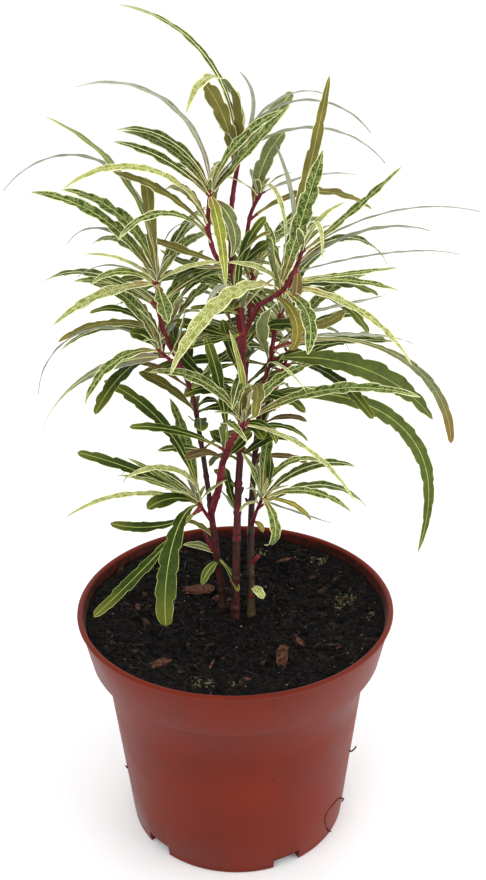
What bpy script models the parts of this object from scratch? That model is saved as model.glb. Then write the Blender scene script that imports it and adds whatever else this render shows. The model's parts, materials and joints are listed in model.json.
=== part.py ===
"""A potted shrub: a clump of thin stems that carry tufts of long, narrow, wavy leaves.

The origin is the centre of the pot's underside, +Z is up and the front is towards -Y.
Lengths in the tables are in millimetres and angles in degrees; the model is in metres.
"""

import math
import random

import bmesh
import bpy
from mathutils import Vector
from mathutils.bvhtree import BVHTree

MM = 0.001
GAP = 0.3
SEED = 11

# Pot: a thin turned shell with a wide band under its lip
RIM_RADIUS = 60.0
POT_HEIGHT = 95.0
LIP_HEIGHT = 5.0
LIP_REACH = 0.9
BAND_FOOT_RADIUS = 55.4
BAND_HEIGHT = 19.5
BODY_TOP_RADIUS = 50.8
BODY_FOOT_RADIUS = 42.8
WALL = 1.5
FLOOR = 2.0
POT_STEPS = 48

# Drain slots through the corner of wall and floor
SLOTS = 5
SLOT_FIRST = -136.0
SLOT_WIDTH = 11.0
SLOT_HEIGHT = 5.0
SLOT_REACH = 5.0

# Potting soil
SOIL_TOP = 88.0
SOIL_EDGE_DROP = 1.2
SOIL_EDGE_WIDTH = 5.0

# Limbs
LIMB_STEP = 5.0
LIMB_SIDES = 2
FLARE = 0.45
FLARE_HEIGHT = 5.0
FOOT_UPRIGHT = 1.2

# Each limb: where it passes, its foot and tip radius, and the limb that carries it
SOIL_LEVEL = SOIL_TOP + GAP
LIMBS = {
    "stem_centre": (((0, 0, SOIL_LEVEL), (0, 1, 94), (1.5, 6, 136), (3.8, 7, 175), (3, 5, 201),
                     (0.2, 10, 226)), 2.1, 1.3, None),
    "stem_right": (((6, 1, SOIL_LEVEL), (6, 2, 94), (6.3, 9, 124), (8, 12, 151), (10.2, 10, 173)),
                   1.9, 1.3, None),
    "stem_left": (((-5, 4, SOIL_LEVEL), (-5, 5, 94), (-7, 7, 112), (-9.2, 5, 138)), 1.9, 1.5, None),
    "bough_left": (((-9.2, 5, 138), (-12, 9, 159), (-15, 9, 178), (-23.5, 4, 202)), 1.3, 1.0,
                   "stem_left"),
    "bough_front": (((-8.6, 5.6, 130), (-5.5, 2.5, 142), (-4, 2, 152)), 1.3, 1.2, "stem_left"),
    "bough_upper_right": (((3.4, 6, 198), (9.3, -4, 213.5)), 1.3, 1.2, "stem_centre"),
    "bough_back": (((3.6, 7, 168), (5, 22, 180), (6, 31, 193)), 1.2, 1.0, "stem_centre"),
    "bough_back_left": (((-12.4, 9.3, 162), (-14, 20, 167), (-17, 29, 175)), 1.1, 0.9, "bough_left"),
    "bough_back_right": (((8.6, 11.8, 156), (12, 22, 161), (16, 31, 169)), 1.2, 1.0, "stem_right"),
}

# Each mass of foliage: where its own stem passes, its radius, its carrier, whether it
# stands on the carrier's tip, and how many leaf pairs its far side or whole tuft has
MASSES = {
    "foliage_top": (((0.2, 10, 226), (0.7, 11, 244), (4, 12, 263)), 1.3, "stem_centre", True, 3),
    "foliage_upper_left": (((0.4, 9, 222), (-5, 2, 229), (-7.2, 2, 240), (-6, 2, 251)), 1.2,
                           "stem_centre", False, 2),
    "foliage_upper_middle": (((0.3, 10, 220), (4.5, 13, 227), (7, 14, 240), (11, 13, 248)), 1.1,
                             "stem_centre", False, 3),
    "foliage_heart": (((3.4, 6, 189), (4.6, -0.5, 200), (3.6, -2, 213)), 1.0, "stem_centre", False, 0),
    "foliage_upper_right": (((9.3, -4, 213.5), (15, -8, 218), (18.5, -10, 222), (22, -9, 229),
                             (24, -9, 235)), 1.2, "bough_upper_right", True, 4),
    "foliage_left": (((-23.5, 4, 202), (-25.2, 3, 212), (-24.8, 2, 221)), 1.1, "bough_left", True, 3),
    "foliage_lower_left": (((-18, 7, 187), (-22, 6, 191), (-26, 5, 195)), 1.0, "bough_left", False, 2),
    "foliage_centre": (((-4, 2, 152), (0, -3, 164), (4.7, -6, 172)), 1.2, "bough_front", True, 1),
    "foliage_foot_right": (((6.3, 9, 122), (8.9, 2, 134), (10.7, -2, 140)), 1.0, "stem_right", False, 3),
    "foliage_foot_left": (((-8.5, 6, 126), (-11, 3, 132), (-13, 1, 137)), 1.0, "stem_left", False, 3),
    "foliage_right": (((10.2, 10, 173), (13.4, 8, 190), (15.8, 7, 203), (18, 6, 209)), 1.3,
                      "stem_right", True, 3),
    "foliage_back": (((6, 31, 193), (7, 36, 204), (8, 42, 214)), 1.0, "bough_back", True, 7),
    "foliage_back_left": (((-17, 29, 175), (-20, 34, 185), (-23, 39, 196)), 0.9, "bough_back_left",
                          True, 6),
    "foliage_back_right": (((16, 31, 169), (20, 36, 178), (24, 41, 188)), 1.0, "bough_back_right",
                           True, 7),
}
WHOLE_TUFTS = ("foliage_back", "foliage_back_left", "foliage_back_right")

# Leaves that give the crown its outline, as (height up the mass's stem in percent, bearing
# from +X towards +Y, rise, length, bend, turn, width, roll towards the front)
LEAVES = {
    "foliage_top": (
        (78, -135, 85, 31, 45, 0, 8.5, 20), (84, 130, 95, 70, 85, 55, 2.5, 20),
        (86, 240, 120, 61, 175, 5, 4, 20), (90, 45, 40, 33, 5, 0, 7, 20),
        (94, -70, 85, 25, 20, -70, 4.5, 20), (100, 10, 75, 42, 100, 30, 2.2, 10),
        (100, 50, 50, 37, 25, 75, 2.2, 10), (100, 50, 60, 56, 110, -75, 2.2, 10)),
    "foliage_upper_left": (
        (2, 160, -10, 29, -30, -25, 3.5, 20), (2, 190, 25, 35, 15, -40, 4.5, 20),
        (38, -155, 70, 43, 115, 15, 3.5, 25), (52, 125, 35, 30, 105, 20, 2.2, 10),
        (56, -170, 55, 38, 40, 0, 4.5, 20), (62, -155, 75, 59, 115, -20, 3.5, 20),
        (92, -60, 15, 26, 140, 30, 5, 20), (96, 175, 50, 36, 40, 0, 4.5, 20),
        (98, -80, -5, 37, 80, 5, 5.5, 20), (98, -5, 50, 39, 5, -15, 6, 25),
        (100, 0, 65, 70, 115, 15, 2.2, 10), (100, 140, 90, 63, 105, 55, 3, 15),
        (100, 170, 75, 40, 85, -5, 4, 20)),
    "foliage_upper_middle": (
        (80, 65, 75, 26, 40, -30, 7.5, 20), (100, -75, 50, 35, 150, 10, 2.2, 20),
        (100, 15, 25, 35, 35, 0, 2.5, 15)),
    "foliage_heart": (
        (50, 170, -20, 22, -5, -10, 3.5, 25), (76, -130, 105, 33, 170, 5, 3.5, 15),
        (86, 165, 15, 19, 25, -5, 2.5, 25), (98, -10, 105, 34, 60, 0, 6, 25),
        (100, -25, 120, 33, 105, 0, 4, 20)),
    "foliage_upper_right": (
        (22, -50, 20, 26, 160, 5, 4.5, 20), (34, 15, 70, 48, -5, 0, 9.5, 50),
        (40, -130, 60, 20, -30, 0, 5, 20), (40, -120, 35, 62, 100, -25, 5.5, 20),
        (42, -45, -5, 33, 35, -65, 5.5, 25), (50, -20, 0, 51, 60, 15, 3.5, 20),
        (50, 170, 45, 21, 45, 15, 3, 20), (54, 0, 10, 37, 30, 5, 3.5, 25),
        (58, 0, 85, 66, 15, -60, 5.5, 20), (58, 5, 5, 36, 0, 0, 2.5, 25),
        (68, -10, 20, 66, 40, 60, 2.2, 10), (74, 10, 40, 51, 60, 15, 2.2, 10),
        (80, 105, 90, 41, 50, 15, 2.2, 10), (94, -10, 40, 42, -5, 0, 4.5, 25),
        (94, 10, 35, 63, 50, 0, 2.2, 10), (100, -60, 85, 33, 160, -35, 2.2, 20),
        (100, 30, 70, 21, 55, -15, 2.5, 20)),
    "foliage_left": (
        (80, 60, 65, 28, 60, -5, 2.2, 10), (84, 165, 85, 49, 135, -25, 2.2, 10),
        (84, 170, 55, 31, 95, 5, 2.2, 10), (88, -165, 55, 25, 95, 0, 3.5, 25),
        (90, 110, 95, 93, 145, 70, 2.2, 10), (90, 170, 70, 54, 60, 30, 5, 25),
        (90, 185, 95, 69, 70, 0, 4, 20), (96, -150, 10, 39, 50, -15, 5, 20),
        (96, -75, -20, 23, -5, -5, 6, 25), (98, -25, 40, 25, 40, 20, 3, 20),
        (98, 140, 85, 35, 0, 0, 5, 20), (98, 175, 85, 47, 80, -5, 5, 25),
        (98, 180, 50, 27, 55, 0, 2.2, 20)),
    "foliage_lower_left": (
        (22, -25, 50, 21, -35, -15, 4.5, 25), (28, -135, 10, 54, 75, -55, 5.5, 20),
        (68, -105, 70, 23, 25, -30, 3, 25), (76, -150, 10, 36, 90, -45, 4, 25),
        (84, 135, 70, 33, 95, 45, 3.5, 25), (96, -195, 45, 58, 130, 40, 2.2, 10),
        (100, 180, 65, 12, 65, 0, 5.5, 25)),
    "foliage_centre": (
        (4, 10, 40, 15, -5, 5, 4, 25), (8, -155, 45, 14, 80, -5, 5, 20),
        (10, -100, 95, 41, 125, 45, 3.5, 25), (28, -170, 40, 37, 45, -15, 4, 25),
        (32, 160, 90, 43, 20, 0, 5.5, 25), (38, 10, 55, 34, 110, 0, 3, 25),
        (56, -5, 85, 24, 175, -5, 3.5, 25), (86, -45, 95, 48, 135, -60, 5, 20),
        (96, -25, 5, 50, 65, 0, 2.5, 20), (96, 165, 95, 35, 25, 0, 4, 20),
        (100, -10, 40, 64, 55, 0, 5, 25)),
    "foliage_foot_right": (
        (66, 210, 70, 12, -5, -5, 4, 20), (76, -190, 25, 9, 95, 35, 2.2, 25),
        (78, -175, 90, 22, 35, 0, 3.5, 25), (88, -5, 65, 20, -30, 0, 5, 25),
        (94, 5, -25, 29, 0, 10, 2.2, 10), (96, -20, 20, 21, 80, 15, 3, 20),
        (98, 0, 30, 35, 75, -10, 3.5, 25), (100, -65, 5, 26, 170, 15, 5, 25),
        (100, 25, 85, 32, 125, -10, 3, 25)),
    "foliage_foot_left": (
        (44, -140, -15, 36, -25, -55, 5, 25), (56, -150, 90, 41, 115, -5, 3.5, 20),
        (61, 145, 80, 62, 50, 50, 6, 25), (66, -180, 40, 34, 25, 20, 3, 25),
        (70, -110, 35, 62, 135, 10, 8, 25), (74, -135, -30, 58, -15, 5, 5, 25),
        (78, -175, 30, 52, 65, 0, 2.5, 20), (80, -155, 45, 23, 70, 5, 6, 25),
        (83, 165, 40, 32, 20, 0, 3.5, 25), (88, 175, 35, 49, 25, -5, 5, 25)),
    "foliage_right": (
        (4, -15, 20, 114, 135, 60, 8, 50), (18, -40, 65, 16, 15, 0, 7.5, 25),
        (38, -90, 50, 28, 105, 65, 2.2, 20), (46, -125, 65, 38, 30, 75, 5.5, 25),
        (48, -5, 10, 68, 65, 15, 10.5, 50), (60, -10, 25, 90, 110, 30, 3.5, 20),
        (60, 5, 10, 45, 20, 5, 4.5, 20), (68, -15, 15, 60, 45, 65, 2.5, 15),
        (88, -10, -15, 29, -35, 70, 5, 20), (94, 15, 5, 41, 0, 10, 2.5, 15)),
}

# Leaves of a tuft that follow the rule of crossed pairs
PAIR_TURN = 90.0
PAIR_JITTER = 16.0
PAIR_RISE = (22.0, 68.0)
PAIR_BEND = (45.0, 110.0)
PAIR_LENGTH = (58.0, 34.0)
PAIR_BLADES = ((5.5, 25), (5, 20), (4, 20), (5, 25), (3.2, 15), (4.2, 20))

# Leaf blade
LEAF_THICKNESS = 0.014
LEAF_LEAST = 0.55
LEAF_ROOT = 0.2
LEAF_STEPS = 24
NUDGES = ((0, 0), (5, 0), (-5, 0), (0, 5), (0, -5), (9, 4), (-9, 4), (9, -6), (-9, -6), (14, 0), (-14, 0),
          (0, 12), (0, -12), (18, 8), (-18, 8), (24, 0), (-24, 0))
CLEARANCE = 0.4
ROOT_RINGS = 2

# No leaf starts in a stem's very tip, and no two roots start in one point
LEAF_TOP_SHARE = 0.95
ROOT_SHIFT = Vector((0.011, -0.007, 0.013))

COLOURS = {
    "pot": ((0.27, 0.07, 0.045, 1), 0.45),
    "soil": ((0.012, 0.009, 0.007, 1), 0.95),
    "stem": ((0.10, 0.035, 0.025, 1), 0.6),
    "bough": ((0.16, 0.02, 0.03, 1), 0.5),
    "foliage": ((0.13, 0.20, 0.045, 1), 0.45),
}


def clear_scene():
    for obj in list(bpy.data.objects):
        bpy.data.objects.remove(obj, do_unlink=True)


def new_collection(name):
    collection = bpy.data.collections.new(name)
    bpy.context.scene.collection.children.link(collection)
    return collection


def material(name):
    """A plain finish, from the first word of the node's name."""
    colour, roughness = COLOURS[name.split("_")[0]]
    mat = bpy.data.materials.new(name)
    mat.use_nodes = True
    shader = mat.node_tree.nodes["Principled BSDF"]
    shader.inputs["Base Color"].default_value = colour
    shader.inputs["Roughness"].default_value = roughness
    shader.inputs["Metallic"].default_value = 0.0
    return mat


def add_object(name, mesh, collection):
    obj = bpy.data.objects.new(name, mesh)
    collection.objects.link(obj)
    return obj


def turned(name, profile, collection):
    """A solid of revolution from (radius, height) points in millimetres."""
    mesh = bpy.data.meshes.new(name)
    points = [(r * MM, 0.0, z * MM) for r, z in profile]
    edges = [(i, i + 1) for i in range(len(points) - 1)]
    mesh.from_pydata(points, edges, [])
    obj = add_object(name, mesh, collection)
    screw = obj.modifiers.new("turn", "SCREW")
    screw.angle = math.tau
    screw.steps = screw.render_steps = POT_STEPS
    screw.use_merge_vertices = True
    screw.merge_threshold = 0.00001
    screw.use_smooth_shade = True
    return obj


def inner_radius(z):
    """Radius of the pot's inner wall at a height."""
    band_foot = POT_HEIGHT - BAND_HEIGHT
    if z >= band_foot:
        share = (z - band_foot) / BAND_HEIGHT
        return BAND_FOOT_RADIUS + (RIM_RADIUS - LIP_REACH - BAND_FOOT_RADIUS) * share - WALL
    share = z / band_foot
    return BODY_FOOT_RADIUS + (BODY_TOP_RADIUS - BODY_FOOT_RADIUS) * share - WALL


def build_pot(parts, cutters):
    band_foot = POT_HEIGHT - BAND_HEIGHT
    lip_foot = POT_HEIGHT - LIP_HEIGHT
    ledge = band_foot + WALL
    pot = turned("pot", (
        (0, FLOOR), (inner_radius(FLOOR), FLOOR), (inner_radius(band_foot - 1), band_foot),
        (inner_radius(ledge), ledge), (inner_radius(POT_HEIGHT), POT_HEIGHT),
        (RIM_RADIUS - 0.6, POT_HEIGHT), (RIM_RADIUS, POT_HEIGHT - 0.6), (RIM_RADIUS - 0.3, lip_foot),
        (RIM_RADIUS - LIP_REACH - 0.9, lip_foot - 0.6), (BAND_FOOT_RADIUS, band_foot),
        (BODY_TOP_RADIUS, band_foot - 0.5), (BODY_FOOT_RADIUS + 0.1, 1.0), (BODY_FOOT_RADIUS - 0.8, 0),
        (0, 0)), parts)
    for index in range(SLOTS):
        angle = math.radians(SLOT_FIRST + index * 360.0 / SLOTS)
        mesh = bpy.data.meshes.new("slot")
        shape = bmesh.new()
        bmesh.ops.create_cube(shape, size=1.0)
        bmesh.ops.scale(shape, vec=Vector((2 * SLOT_REACH, SLOT_WIDTH, 2 * SLOT_HEIGHT)) * MM,
                        verts=shape.verts)
        shape.to_mesh(mesh)
        shape.free()
        slot = add_object(f"slot_{index}", mesh, cutters)
        slot.location = Vector((math.cos(angle), math.sin(angle), 0)) * BODY_FOOT_RADIUS * MM
        slot.rotation_euler = (0, 0, angle)
        slot.hide_render = True
        slot.display_type = "WIRE"
    cut = pot.modifiers.new("drain slots", "BOOLEAN")
    cut.operand_type = "COLLECTION"
    cut.collection = cutters
    cut.solver = "EXACT"
    pot.data.materials.append(material("pot"))


def build_soil(parts):
    """The filled inside of the pot, clear of its wall and floor all over."""
    foot = FLOOR + GAP
    band_foot = POT_HEIGHT - BAND_HEIGHT
    ledge = band_foot + WALL + 2 * GAP
    edge = SOIL_TOP - SOIL_EDGE_DROP
    edge_radius = inner_radius(edge) - GAP
    soil = turned("soil", (
        (0, SOIL_TOP), (edge_radius - SOIL_EDGE_WIDTH, SOIL_TOP), (edge_radius, edge),
        (inner_radius(ledge) - GAP, ledge), (inner_radius(band_foot - 1) - GAP, ledge),
        (inner_radius(foot) - GAP, foot), (0, foot)), parts)
    soil.data.materials.append(material("soil"))


def smooth_path(keys, step):
    """Points about a step apart on a smooth curve through the key places."""
    keys = [Vector(k) for k in keys]
    ends = [keys[0] * 2 - keys[1]] + keys + [keys[-1] * 2 - keys[-2]]
    points = [keys[0]]
    for a, b, c, d in zip(ends, ends[1:], ends[2:], ends[3:]):
        count = max(2, round((c - b).length / step))
        for i in range(1, count + 1):
            t = i / count
            points.append(0.5 * (2 * b + (c - a) * t + (2 * a - 5 * b + 4 * c - d) * t ** 2
                                 + (3 * b - a - 3 * c + d) * t ** 3))
    return points


def lengths_along(points):
    total = [0.0]
    for a, b in zip(points, points[1:]):
        total.append(total[-1] + (b - a).length)
    return total


def point_at(points, share):
    """The point and radius share at a part of the path's length."""
    along = lengths_along(points)
    want = share * along[-1]
    for a, b, la, lb in zip(points, points[1:], along, along[1:]):
        if want <= lb:
            return a.lerp(b, (want - la) / (lb - la))
    return points[-1].copy()


def distance_to_path(place, points):
    """Distance from a place to a path, and the share of the path's length there."""
    along = lengths_along(points)
    best = (1e9, 0.0)
    for a, b, la, lb in zip(points, points[1:], along, along[1:]):
        t = max(0.0, min(1.0, (place - a).dot(b - a) / (b - a).length_squared))
        best = min(best, ((place - a.lerp(b, t)).length, (la + (lb - la) * t) / along[-1]))
    return best


def rim_of(centre, direction, radius):
    """Places round the rim of a limb's flat end."""
    across = direction.orthogonal().normalized()
    other = direction.cross(across)
    turns = [math.tau * i / 12 for i in range(12)]
    return [centre + (across * math.cos(t) + other * math.sin(t)) * radius for t in turns]


def seated_on_side(points, radius, host_points, host_foot, host_tip):
    """Start the path where its flat end first clears the side of the limb that carries it."""
    total = lengths_along(points)[-1]
    travel = 0.0
    while travel < total:
        here = point_at(points, travel / total)
        ahead = point_at(points, min(1.0, (travel + 0.5) / total))
        direction = (ahead - here).normalized()
        gaps = []
        for place in rim_of(here, direction, radius) + [here]:
            distance, share = distance_to_path(place, host_points)
            gaps.append(distance - host_foot - (host_tip - host_foot) * share)
        if min(gaps) >= GAP:
            break
        travel += 0.05
    rest = [p for p, s in zip(points, lengths_along(points)) if s > travel + 1.0]
    return [here] + rest


def seated_on_tip(points, host_points):
    """Start the path just clear of the carrier's flat tip and square to it."""
    tip = host_points[-1]
    direction = (tip - host_points[-2]).normalized()
    rest = [p for p, s in zip(points, lengths_along(points)) if s > 2.5]
    return [tip + direction * GAP, tip + direction * 1.5] + rest


def tube(name, points, foot_radius, tip_radius, flare, collection):
    """A round tapering limb with flat ends, made from a curve."""
    curve = bpy.data.curves.new(name, "CURVE")
    curve.dimensions = "3D"
    curve.bevel_depth = MM
    curve.bevel_resolution = LIMB_SIDES
    curve.use_fill_caps = True
    spline = curve.splines.new("POLY")
    spline.points.add(len(points) - 1)
    along = lengths_along(points)
    for point, place, length in zip(spline.points, points, along):
        share = length / along[-1]
        spread = flare * foot_radius * math.exp(-length / FLARE_HEIGHT)
        point.co = (*(place * MM), 1.0)
        point.radius = foot_radius + (tip_radius - foot_radius) * share + spread
    obj = bpy.data.objects.new(name, curve)
    collection.objects.link(obj)
    graph = bpy.context.evaluated_depsgraph_get()
    mesh = bpy.data.meshes.new_from_object(obj.evaluated_get(graph))
    bpy.data.objects.remove(obj)
    bpy.data.curves.remove(curve)
    shape = bmesh.new()
    shape.from_mesh(mesh)
    bmesh.ops.remove_doubles(shape, verts=shape.verts, dist=0.000001)
    bmesh.ops.recalc_face_normals(shape, faces=shape.faces)
    shape.to_mesh(mesh)
    shape.free()
    return add_object(name, mesh, collection)


def leaf_width(share):
    """Width of a blade along its length, as a part of its widest."""
    if share < 0.12:
        return LEAF_ROOT
    body = math.sin(math.pi * ((share - 0.12) / 0.88) ** 0.8)
    return max(LEAF_ROOT, body ** 0.75) if share < 0.9 else 0.42


def leaf_frames(foot, bearing, rise, length, bend, turn, width, roll):
    """Places along an arching blade with half its width and half its depth there, and its tip."""
    thickness = max(LEAF_LEAST, length * LEAF_THICKNESS)
    segments = 3 if length < 26 else 4 if length < 45 else 5 if length < 75 else 7
    place = foot.copy()
    frames = []
    for step in range(LEAF_STEPS * segments):
        share = step / (LEAF_STEPS * segments)
        angle = math.radians(bearing + turn * share)
        lift = math.radians(rise - bend * share)
        ahead = Vector((math.cos(angle) * math.cos(lift), math.sin(angle) * math.cos(lift), math.sin(lift)))
        if step % LEAF_STEPS == 0:
            side = Vector((-math.sin(angle), math.cos(angle), 0))
            up = ahead.cross(side)
            tilt = math.radians(roll) * math.cos(angle)
            across = side * math.cos(tilt) + up * math.sin(tilt)
            over = up * math.cos(tilt) - side * math.sin(tilt)
            frames.append((place, across, over, leaf_width(share) * width / 2, thickness / 2))
        place = place + ahead * (length / (LEAF_STEPS * segments))
    return frames, place


def blade_rings(frames):
    """The blade itself: two edges and a keel."""
    return [(place - across * half + over * deep, place + across * half + over * deep, place - over * deep)
            for place, across, over, half, deep in frames]


def probe_rings(frames):
    """A box round the blade, with the clearance added on every side."""
    rings = []
    for place, across, over, half, deep in frames:
        reach = across * (half + CLEARANCE)
        depth = over * (deep + CLEARANCE)
        rings.append((place - reach + depth, place + reach + depth, place + reach - depth,
                      place - reach - depth))
    return rings


def ring_faces(count, sides):
    """Faces that join the rings of a blade, its root end and its tip."""
    faces = [tuple(range(sides))]
    for i in range(count - 1):
        for j in range(sides):
            k = (j + 1) % sides
            a, b = sides * i + j, sides * i + k
            faces.append((a, a + sides, b + sides))
            faces.append((a, b + sides, b))
    last, tip = sides * (count - 1), sides * count
    return faces + [(last + j, tip, last + (j + 1) % sides) for j in range(sides)]


def ring_tree(rings, tip):
    points = [p for ring in rings for p in ring] + [tip]
    return BVHTree.FromPolygons(points, ring_faces(len(rings), len(rings[0])))


def clear_of_pot(rings, tip):
    """True where no corner of the blade comes near the pot or the soil."""
    for place in [p for ring in rings for p in ring] + [tip]:
        radius = math.hypot(place.x, place.y)
        floor = SOIL_TOP if radius < inner_radius(SOIL_TOP) - 3 else POT_HEIGHT
        if place.z < floor + 1.0:
            return False
    return True


def pair_leaves(name, pairs, chance):
    """Leaves in crossed pairs: all round a back tuft, and on the far side of a front one."""
    leaves = []
    for index in range(pairs):
        share = (index + 1) / pairs
        at = 25 + 73 * share
        start = chance.uniform(0, 90) + PAIR_TURN * index
        for opposite in (0, 180):
            bearing = start + opposite + chance.uniform(-PAIR_JITTER, PAIR_JITTER)
            rise = PAIR_RISE[0] + (PAIR_RISE[1] - PAIR_RISE[0]) * share + chance.uniform(-8, 8)
            bend = chance.uniform(*PAIR_BEND)
            length = PAIR_LENGTH[0] + (PAIR_LENGTH[1] - PAIR_LENGTH[0]) * share * chance.uniform(0.6, 1)
            blade = PAIR_BLADES[min(len(PAIR_BLADES) - 1, int(share * len(PAIR_BLADES)))]
            if name not in WHOLE_TUFTS:
                bearing = 90 + 70 * math.cos(math.radians(bearing))
            leaves.append((at, bearing, rise, length, bend, chance.uniform(-14, 14), *blade))
    return leaves


def grow_leaf(row, stem, others, own):
    """The first nudge of a leaf that keeps clear of every other mass and limb, if any does."""
    at, bearing, rise, *form = row
    foot = point_at(stem, at / 100 * LEAF_TOP_SHARE) + ROOT_SHIFT * len(own)
    fallback = None
    for swing, lift in NUDGES:
        frames, tip = leaf_frames(foot, bearing + swing, rise + lift, *form)
        probe = probe_rings(frames)
        if not clear_of_pot(probe, tip):
            continue
        tree = ring_tree(probe, tip + (tip - frames[-1][0]).normalized() * CLEARANCE)
        if any(tree.overlap(other) for other in others):
            continue
        rings = blade_rings(frames)
        blade = ring_tree(rings[ROOT_RINGS:], tip)
        if not any(blade.overlap(other) for other in own):
            return rings, tip
        fallback = fallback or (rings, tip)
    return fallback


def build_limbs(parts):
    """Stems and boughs, each seated on the one that carries it; returns their paths."""
    paths = {}
    for name, (keys, foot_radius, tip_radius, host) in LIMBS.items():
        path = smooth_path(keys, LIMB_STEP)
        if host and keys[0] == LIMBS[host][0][-1]:
            path = seated_on_tip(path, paths[host])
        elif host:
            _, host_foot, host_tip, _ = LIMBS[host]
            path = seated_on_side(path, foot_radius, paths[host], host_foot, host_tip)
        else:
            upright = path[0] + Vector((0, 0, FOOT_UPRIGHT))
            path = [path[0], upright] + [p for p in path if p.z > upright.z + FOOT_UPRIGHT]
        paths[name] = path
        limb = tube(name, path, foot_radius, tip_radius, 0 if host else FLARE, parts)
        limb.data.materials.append(material(name))
        limb.data.shade_smooth()
    return paths


def keep_main_shell(obj):
    """Drop loose scraps and sealed hollows: keep the largest connected shell."""
    shape = bmesh.new()
    shape.from_mesh(obj.data)
    left = set(shape.verts)
    shells = []
    while left:
        shell, edge = set(), [next(iter(left))]
        while edge:
            vert = edge.pop()
            if vert in shell:
                continue
            shell.add(vert)
            edge.extend(e.other_vert(vert) for e in vert.link_edges)
        left -= shell
        shells.append(shell)
    shells.sort(key=len)
    loose = [v for shell in shells[:-1] for v in shell]
    bmesh.ops.delete(shape, geom=loose, context="VERTS")
    shape.to_mesh(obj.data)
    shape.free()


def build_masses(parts, limb_paths):
    """Tufts of leaves, each fused to its own short stem."""
    stems = {}
    paths = {}
    for name, (keys, radius, host, on_tip, _) in MASSES.items():
        path = smooth_path(keys, LIMB_STEP)
        if on_tip:
            path = seated_on_tip(path, limb_paths[host])
        else:
            _, host_foot, host_tip, _ = LIMBS[host]
            path = seated_on_side(path, radius, limb_paths[host], host_foot, host_tip)
        paths[name] = path
        stems[name] = tube(name, path, radius, radius * 0.7, 0, parts)
    limb_trees = [tree_of(obj) for obj in parts.objects if obj.name in LIMBS]
    stem_trees = {name: tree_of(obj) for name, obj in stems.items()}
    leaf_trees = {name: [] for name in MASSES}
    for name, (_, _, _, _, pairs) in MASSES.items():
        chance = random.Random(SEED + len(name) + sum(map(ord, name)))
        others = limb_trees + [tree for other, tree in stem_trees.items() if other != name]
        for other in MASSES:
            if other != name:
                others += leaf_trees[other]
        blades = bpy.data.collections.new(name + " blades")
        for row in LEAVES.get(name, ()) + tuple(pair_leaves(name, pairs, chance)):
            grown = grow_leaf(row, paths[name], others, leaf_trees[name])
            if grown is None:
                continue
            rings, tip = grown
            leaf_trees[name].append(ring_tree(rings, tip))
            mesh = bpy.data.meshes.new("blade")
            points = [p * MM for ring in rings for p in ring] + [tip * MM]
            mesh.from_pydata(points, [], ring_faces(len(rings), 3))
            add_object("blade", mesh, blades)
        fuse(stems[name], blades)
        stems[name].data.materials.clear()
        stems[name].data.materials.append(material(name))


def tree_of(obj):
    """Search tree of an object's mesh, in millimetres."""
    points = [v.co / MM for v in obj.data.vertices]
    return BVHTree.FromPolygons(points, [tuple(p.vertices) for p in obj.data.polygons])


def is_closed(mesh):
    shape = bmesh.new()
    shape.from_mesh(mesh)
    closed = all(edge.is_manifold for edge in shape.edges)
    shape.free()
    return closed


def fuse(obj, collection):
    """Join every blade of a collection to the object, then remove the collection's objects."""
    union = obj.modifiers.new("fuse", "BOOLEAN")
    union.operation = "UNION"
    union.operand_type = "COLLECTION"
    union.collection = collection
    for solver in ("EXACT", "MANIFOLD"):
        union.solver = solver
        graph = bpy.context.evaluated_depsgraph_get()
        mesh = bpy.data.meshes.new_from_object(obj.evaluated_get(graph))
        if is_closed(mesh):
            break
    obj.modifiers.clear()
    obj.data = mesh
    for blade in list(collection.objects):
        bpy.data.objects.remove(blade)
    bpy.data.collections.remove(collection)
    keep_main_shell(obj)


def main():
    clear_scene()
    parts = new_collection("potted shrub")
    cutters = new_collection("cutters")
    build_pot(parts, cutters)
    build_soil(parts)
    limb_paths = build_limbs(parts)
    build_masses(parts, limb_paths)


main()
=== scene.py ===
"""A potted shrub dressed for its picture: pot, soil, stems and the leaves of every tuft.

The sizes in the tables are in millimetres and degrees; meshes are in metres, +Z is up and
the front is towards -Y.
"""

import json
import math
import random

import bmesh
import bpy
from bpy.props import FloatProperty, FloatVectorProperty, IntProperty, PointerProperty
from mathutils import Matrix, Vector, noise
from mathutils.bvhtree import BVHTree

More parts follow.
